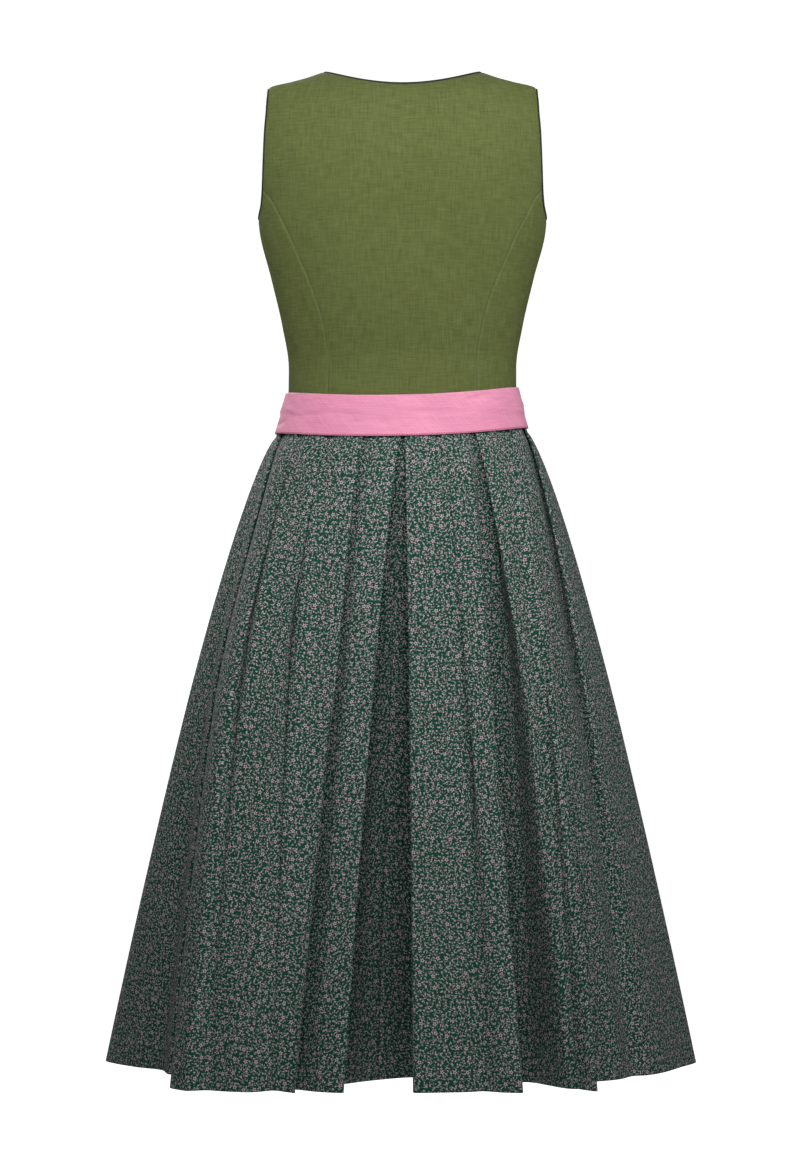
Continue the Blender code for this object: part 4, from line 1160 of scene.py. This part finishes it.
# Soft troughs and ridges in the hanging cloth: place in the order of the rows, half width, how
# far out, the height where it begins and the height where it has died away.
FALL_CREASES = [
    (1.6, 0.016, 0.0022, 0.50, 0.12),
    (4.6, 0.011, -0.0025, 0.60, 0.30),
    (6.4, 0.015, -0.0026, 0.52, 0.16),
    (8.5, 0.011, -0.0050, 0.64, 0.02),
    (8.85, 0.006, -0.0042, 0.72, 0.32),
    (10.5, 0.013, 0.0024, 0.60, 0.20),
    (12.5, 0.012, -0.0056, 0.64, -0.10),
    (12.85, 0.006, -0.0046, 0.72, 0.30),
    (14.5, 0.010, 0.0026, 0.50, -0.10),
    (18.5, 0.012, 0.0020, 0.58, 0.05),
    (21.4, 0.014, 0.0026, 0.44, -0.10),
    (23.5, 0.012, -0.0022, 0.40, 0.04),
    (26.4, 0.015, -0.0018, 0.56, 0.22),
    (27.1, 0.006, -0.0042, 0.72, 0.20),
    (27.5, 0.010, -0.0034, 0.64, 0.10),
    (30.4, 0.012, 0.0026, 0.52, -0.10),
    (31.5, 0.011, -0.0036, 0.64, 0.10),
    (34.3, 0.012, 0.0028, 0.60, 0.06),
    (35.1, 0.006, -0.0048, 0.72, 0.30),
    (35.5, 0.011, -0.0050, 0.64, 0.00),
    (38.4, 0.012, 0.0028, 0.60, 0.10),
    (39.4, 0.013, -0.0040, 0.62, -0.10),
    (43.3, 0.016, -0.0024, 0.50, 0.14),
    (45.7, 0.016, -0.0022, 0.52, 0.10),
    (50.5, 0.014, 0.0024, 0.56, 0.12),
    (52.5, 0.012, -0.0044, 0.64, 0.06),
    (52.85, 0.006, -0.0044, 0.72, 0.30),
    (54.4, 0.014, -0.0020, 0.50, -0.10),
    (56.5, 0.012, -0.0050, 0.64, 0.02),
    (58.5, 0.011, 0.0024, 0.48, 0.08),
    (62.4, 0.013, -0.0022, 0.56, -0.10),
    (65.5, 0.014, 0.0026, 0.42, -0.10),
    (70.4, 0.014, 0.0020, 0.60, 0.18),
    (71.1, 0.006, -0.0042, 0.72, 0.26),
    (71.5, 0.010, -0.0040, 0.64, 0.04),
    (74.5, 0.013, -0.0024, 0.50, 0.08),
    (75.5, 0.011, -0.0042, 0.64, -0.10),
    (78.4, 0.012, 0.0028, 0.56, 0.10),
    (79.5, 0.011, -0.0046, 0.62, 0.04),
    (83.4, 0.013, -0.0034, 0.60, -0.10),
    (86.8, 0.016, 0.0022, 0.50, 0.10),
]


def half_turned(rows):
    """The same folds turned half round, for the front."""
    return [row._replace(waist_deg=row.waist_deg - 180.0, hem_x=-row.hem_x, hem_y=-row.hem_y)
            for row in rows]


cloth_rows = [LEFT_SEAM] + BACK_LEFT + [CENTRE_BACK] + BACK_RIGHT + [RIGHT_SEAM]
cloth_rows += half_turned(BACK_LEFT + [CENTRE_BACK] + BACK_RIGHT)
cloth_rows += [LEFT_SEAM._replace(waist_deg=LEFT_SEAM.waist_deg - 360.0)]
hem_line = np.array([(row.hem_x, row.hem_y) for row in cloth_rows[:-1]])
ahead = unit(np.roll(hem_line, -1, axis=0) - hem_line)
behind = np.roll(ahead, 1, axis=0)
hem_straight = (1.0 + np.sum(ahead * behind, axis=1)) / 2.0
hem_way = unit(ahead + behind)


def hem_at(q):
    """The hem at a place between two rows, as a soft curve through them."""
    k = int(q // 1) % len(hem_line)
    n = (k + 1) % len(hem_line)
    t = q % 1.0
    chord = np.linalg.norm(hem_line[n] - hem_line[k])
    least = min(SOFTEST_TURN, chord)
    pull_here, pull_there = (hem_way[i] * max(chord * hem_straight[i], least) for i in (k, n))
    return soft_curve(t, hem_line[k], hem_line[n], pull_here, pull_there)


def layers_joined(k):
    """The pressed layer that a fold comes from and the one that it goes to."""
    before = cloth_rows[k - 1]
    start = 1.0 if before.fold else before.layer
    return start, 2.0 * cloth_rows[k].layer - start


def flat_between(k):
    """The shares of the way to the next row at which the cloth's flat part begins and ends."""
    return (FOLD_SHARE if cloth_rows[k].fold else 0.0,
            1.0 - FOLD_SHARE if cloth_rows[k + 1].fold else 1.0)


def pressed_at(q):
    """Angle in degrees and layer of the pressed cloth at a place in its order."""
    k = int(round(q))
    off = q - k
    if cloth_rows[k].fold and abs(off) <= FOLD_SHARE + 1e-9:
        start, end = layers_joined(k)
        way = 1.0 if cloth_rows[k].waist_deg > cloth_rows[k - 1].waist_deg else -1.0
        turn = off / FOLD_SHARE * pi / 2.0
        reach = way * LAYER / 2.0 * cos(turn) / PRESSED_TURN
        layer = (start + end) / 2.0 - sin(turn) * (start - end) / 2.0
        return cloth_rows[k].waist_deg + reach, layer
    k = min(int(q // 1), len(cloth_rows) - 2)
    here, there = cloth_rows[k], cloth_rows[k + 1]
    low, high = flat_between(k)
    t = (q - k - low) / (high - low)
    from_layer = layers_joined(k)[1] if here.fold else here.layer
    to_layer = layers_joined(k + 1)[0] if there.fold else there.layer
    degrees = here.waist_deg + t * (there.waist_deg - here.waist_deg)
    return degrees, from_layer + t * (to_layer - from_layer)


def cloth_columns(first, last):
    """Where the net has columns: some round each fold, and one every few millimetres between."""
    columns = []
    for k in range(first, last):
        low, high = flat_between(k)
        reach = np.linalg.norm(hem_line[(k + 1) % len(hem_line)] - hem_line[k])
        between = max(FEWEST_COLUMNS, int(reach / COLUMN_PITCH))
        if cloth_rows[k].fold and k > first:
            columns += list(k + np.linspace(-FOLD_SHARE, FOLD_SHARE, FOLD_COLUMNS))[:-1]
        columns += list(k + np.linspace(low, high, between + 1)[:-1])
        if cloth_rows[k + 1].fold:
            columns.append(k + high)
    columns.append(float(last))
    return np.array(sorted(set(np.round(columns, 9))))


# heights of the net's rows: closer where the pleats leave the sash and at the hem
skirt_heights = np.concatenate([
    np.linspace(SKIRT_TOP, PLEATS_FREE, 6), np.linspace(PLEATS_FREE, OPENED, 13)[1:],
    np.linspace(OPENED, HEM_STRIP, 50)[1:], np.linspace(HEM_STRIP, 0.0, 6)[1:]])


def hang(columns, heights):
    """The middle of the cloth for every column and height, pressed above and free below."""
    pressed = np.array([pressed_at(q) for q in columns])
    angle, layer = np.radians(pressed[:, 0])[None], pressed[:, 1][None]
    rows_late = np.array([row.late for row in cloth_rows])
    late = np.interp(columns, np.arange(len(cloth_rows)), rows_late)[None]
    hem = np.array([hem_at(q) for q in columns])[None]
    height = heights[:, None]
    share = np.where(height > PLEATS_FREE, (SKIRT_TOP - height) / (SKIRT_TOP - PLEATS_FREE),
                     ease(LEVEL_BELOW, PLEATS_FREE, height))
    drawn_up = share * sash_rise(angle)
    ring_height = np.maximum(height, PLEATS_FREE)
    ring_height = ring_height + np.where(height > PLEATS_FREE, share, 1.0) * sash_rise(angle)
    top = ring_point(PLEAT_RING, angle, ring_height)
    top = top + ring_out(angle, ring_height) * (layer * LAYER)[..., None]
    drop = np.clip((PLEATS_FREE - height) / PLEATS_FREE, 1e-9, 1.0)
    bend = (late - 1.0) * ease(0.0, LATE_FROM, drop)
    down = places(drop ** (SPREAD * (1.0 + bend)),
                  drop ** (SPREAD * (1.0 + bend * OUTWARD_SHARE)))
    place = top[..., :2] + (hem - top[..., :2]) * down
    z = height + drawn_up - SHOULDER_HEIGHT
    return np.concatenate([place, z[..., None]], axis=-1)


def moved_by(tree, operation, place, by):
    """A place with a vector added or subtracted."""
    return add(tree, "VectorMath", {0: place, 1: by}, operation=operation).outputs[0]


def scattered(tree, place, pitch, scatter):
    """Cells a pitch apart: the way to each cell's own middle, and its chances."""
    values = {"Vector": place, "Scale": 1.0 / pitch, "Randomness": scatter}
    cell = add(tree, "TexVoronoi", values, voronoi_dimensions="2D").outputs
    off = moved_by(tree, "SUBTRACT", place, cell["Position"])
    return off, add(tree, "SeparateColor", {"Color": cell["Color"]}).outputs


def oval_mask(tree, place, shift, pitch, long, wide, bend, scatter):
    """One small leaf or bud in each cell of a loose scatter, turned any way."""
    moved = moved_by(tree, "ADD", place, (shift, shift * 0.7, 0.0))
    off, chance = scattered(tree, moved, pitch, scatter)
    turn = maths(tree, "MULTIPLY", chance["Red"], 2.0 * pi)
    laid = add(tree, "VectorRotate", {"Vector": off, "Angle": turn}, rotation_type="Z_AXIS")
    parts = add(tree, "SeparateXYZ", {"Vector": laid.outputs[0]}).outputs
    along = maths(tree, "DIVIDE", parts["X"], long)
    far = maths(tree, "MULTIPLY", along, along)
    across = maths(tree, "DIVIDE", parts["Y"], wide)
    bent = maths(tree, "MULTIPLY_ADD", far, bend, across)
    return ranged(tree, maths(tree, "MULTIPLY_ADD", bent, bent, far), 1.25, 0.75)


def flower_mask(tree, place):
    """Five-petalled flowers with an open eye, in some cells of a wide scatter.

    The second value is the ground round them that the leaves and buds may fill.
    """
    pitch, petal_reach, petal_swing, eye, clear = 0.0125, 0.0018, 0.0006, 0.0006, 0.0027
    petal_count, widest_turn, bare_share = 5.0, 6.0, 0.45
    off, chance = scattered(tree, place, pitch, 0.8)
    parts = add(tree, "SeparateXYZ", {"Vector": off}).outputs
    round_it = maths(tree, "ARCTAN2", parts["Y"], parts["X"])
    start = maths(tree, "MULTIPLY", chance["Red"], widest_turn)
    lobes = maths(tree, "COSINE", maths(tree, "MULTIPLY_ADD", round_it, petal_count, start))
    reach = maths(tree, "MULTIPLY_ADD", lobes, petal_swing, petal_reach)
    away = add(tree, "VectorMath", {0: off}, operation="LENGTH").outputs["Value"]
    petals = ranged(tree, maths(tree, "DIVIDE", away, reach), 1.12, 0.88)
    open_eye = ranged(tree, away, eye, eye + 0.0003)
    kept = maths(tree, "GREATER_THAN", chance["Green"], bare_share)
    flower = maths(tree, "MULTIPLY", maths(tree, "MULTIPLY", petals, open_eye), kept)
    free = maths(tree, "MAXIMUM", ranged(tree, away, clear, clear + 0.0004),
                 maths(tree, "SUBTRACT", 1.0, kept))
    return flower, free


def stem_mask(tree, place):
    """Thin swaying stems with gaps in them."""
    sway_reach, stem_pitch = 0.009, 0.0070
    sway = clouds(tree, place, scale=150.0, detail=1.0, noise_dimensions="2D")["Color"]
    sway = moved_by(tree, "SUBTRACT", sway, (0.5, 0.5, 0.5))
    sway = add(tree, "VectorMath", {0: sway, "Scale": sway_reach}, operation="SCALE").outputs[0]
    net = add(tree, "TexVoronoi", {"Vector": moved_by(tree, "ADD", place, sway),
                                   "Scale": 1.0 / stem_pitch},
              voronoi_dimensions="2D", feature="DISTANCE_TO_EDGE").outputs["Distance"]
    gaps = clouds(tree, place, scale=260.0, detail=0.0, noise_dimensions="2D")["Fac"]
    return maths(tree, "MULTIPLY", ranged(tree, net, 0.036, 0.018), ranged(tree, gaps, 0.46, 0.52))


def sprig_print():
    """The print in two colours: flowers and buds, and leaves with their stems."""
    group, taken, end = node_group("sprig_print", ["Place"], ["Petals", "Leaves"])
    place = taken["Place"]
    flower, free = flower_mask(group, place)
    bud = oval_mask(group, place, shift=0.31, pitch=0.0049, long=0.00092, wide=0.00058,
                    bend=0.0, scatter=0.9)
    leaf = oval_mask(group, place, shift=0.87, pitch=0.0038, long=0.00102, wide=0.00044,
                     bend=0.3, scatter=0.75)
    long_leaf = oval_mask(group, place, shift=1.53, pitch=0.0058, long=0.00155,
                          wide=0.00035, bend=0.6, scatter=0.9)
    green = maths(group, "MAXIMUM", maths(group, "MAXIMUM", leaf, long_leaf),
                  stem_mask(group, place))
    feed(group, end, {
        "Petals": maths(group, "MAXIMUM", flower, maths(group, "MULTIPLY", bud, free)),
        "Leaves": maths(group, "MULTIPLY", green, free),
    })
    return group


def printed_cotton():
    made, tree, shader = blank_material("sprigged_cotton")
    place = cloth_place(tree)
    masks = add(tree, "Group", node_tree=sprig_print())
    feed(tree, masks, {"Place": place})
    slubs, weave = threads(tree, place, thread=0.0004, slub_length=26.0)
    ground = tone_ramp(tree, slubs, [(0.34, (0.0028, 0.043, 0.025)),
                                     (0.66, (0.0060, 0.074, 0.044))])
    leaves = blend_colours(tree, masks.outputs["Leaves"], ground, (0.345, 0.305, 0.325))
    petals = blend_colours(tree, masks.outputs["Petals"], leaves, (0.56, 0.415, 0.475))
    cloth_finish(tree, shader, petals, slubs, weave, (0.74, 0.88), 0.0002)
    feed(tree, shader, {"Sheen Weight": 0.02, "Specular IOR Level": 0.15})
    return made


cotton = printed_cotton()


def skirt_width(name, first, last):
    """One width of the skirt, from seam to seam."""
    columns = cloth_columns(first, last)
    points = hang(columns, skirt_heights)
    away = 1e-3
    across = hang(columns + away, skirt_heights) - hang(columns - away, skirt_heights)
    outward = unit(np.cross(across, np.gradient(points, axis=0)))
    run = lengths(points, 1)
    down = lengths(points, 0)
    height = skirt_heights[:, None]
    for place, half_width, lift, begins, ends in FALL_CREASES:
        if first < place < last:
            middle = np.array([np.interp(place, columns, line) for line in run])[:, None]
            grown = (ease(begins, begins - CREASE_GROWS, height)
                     * ease(ends, ends + CREASE_DIES, height))
            lift_here = lift * grown * np.exp(-((run - middle) / half_width) ** 2)
            points = points + outward * lift_here[..., None]
    flat_place = places(run - run[:, -1:] / 2.0, -down)
    made = lay_cloth(name, points, outward, flat_place, cotton, SKIRT_CLOTH, 0.0)
    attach(made, "root")
    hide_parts(name.replace("cotton_", "skirt_"))


names = ["cotton_back_left", "cotton_back_right", "cotton_front_right", "cotton_front_left"]
width_ends = np.linspace(0, len(cloth_rows) - 1, 5).astype(int)
for name, first, last in zip(names, width_ends, width_ends[1:]):
    skirt_width(name, int(first), int(last))
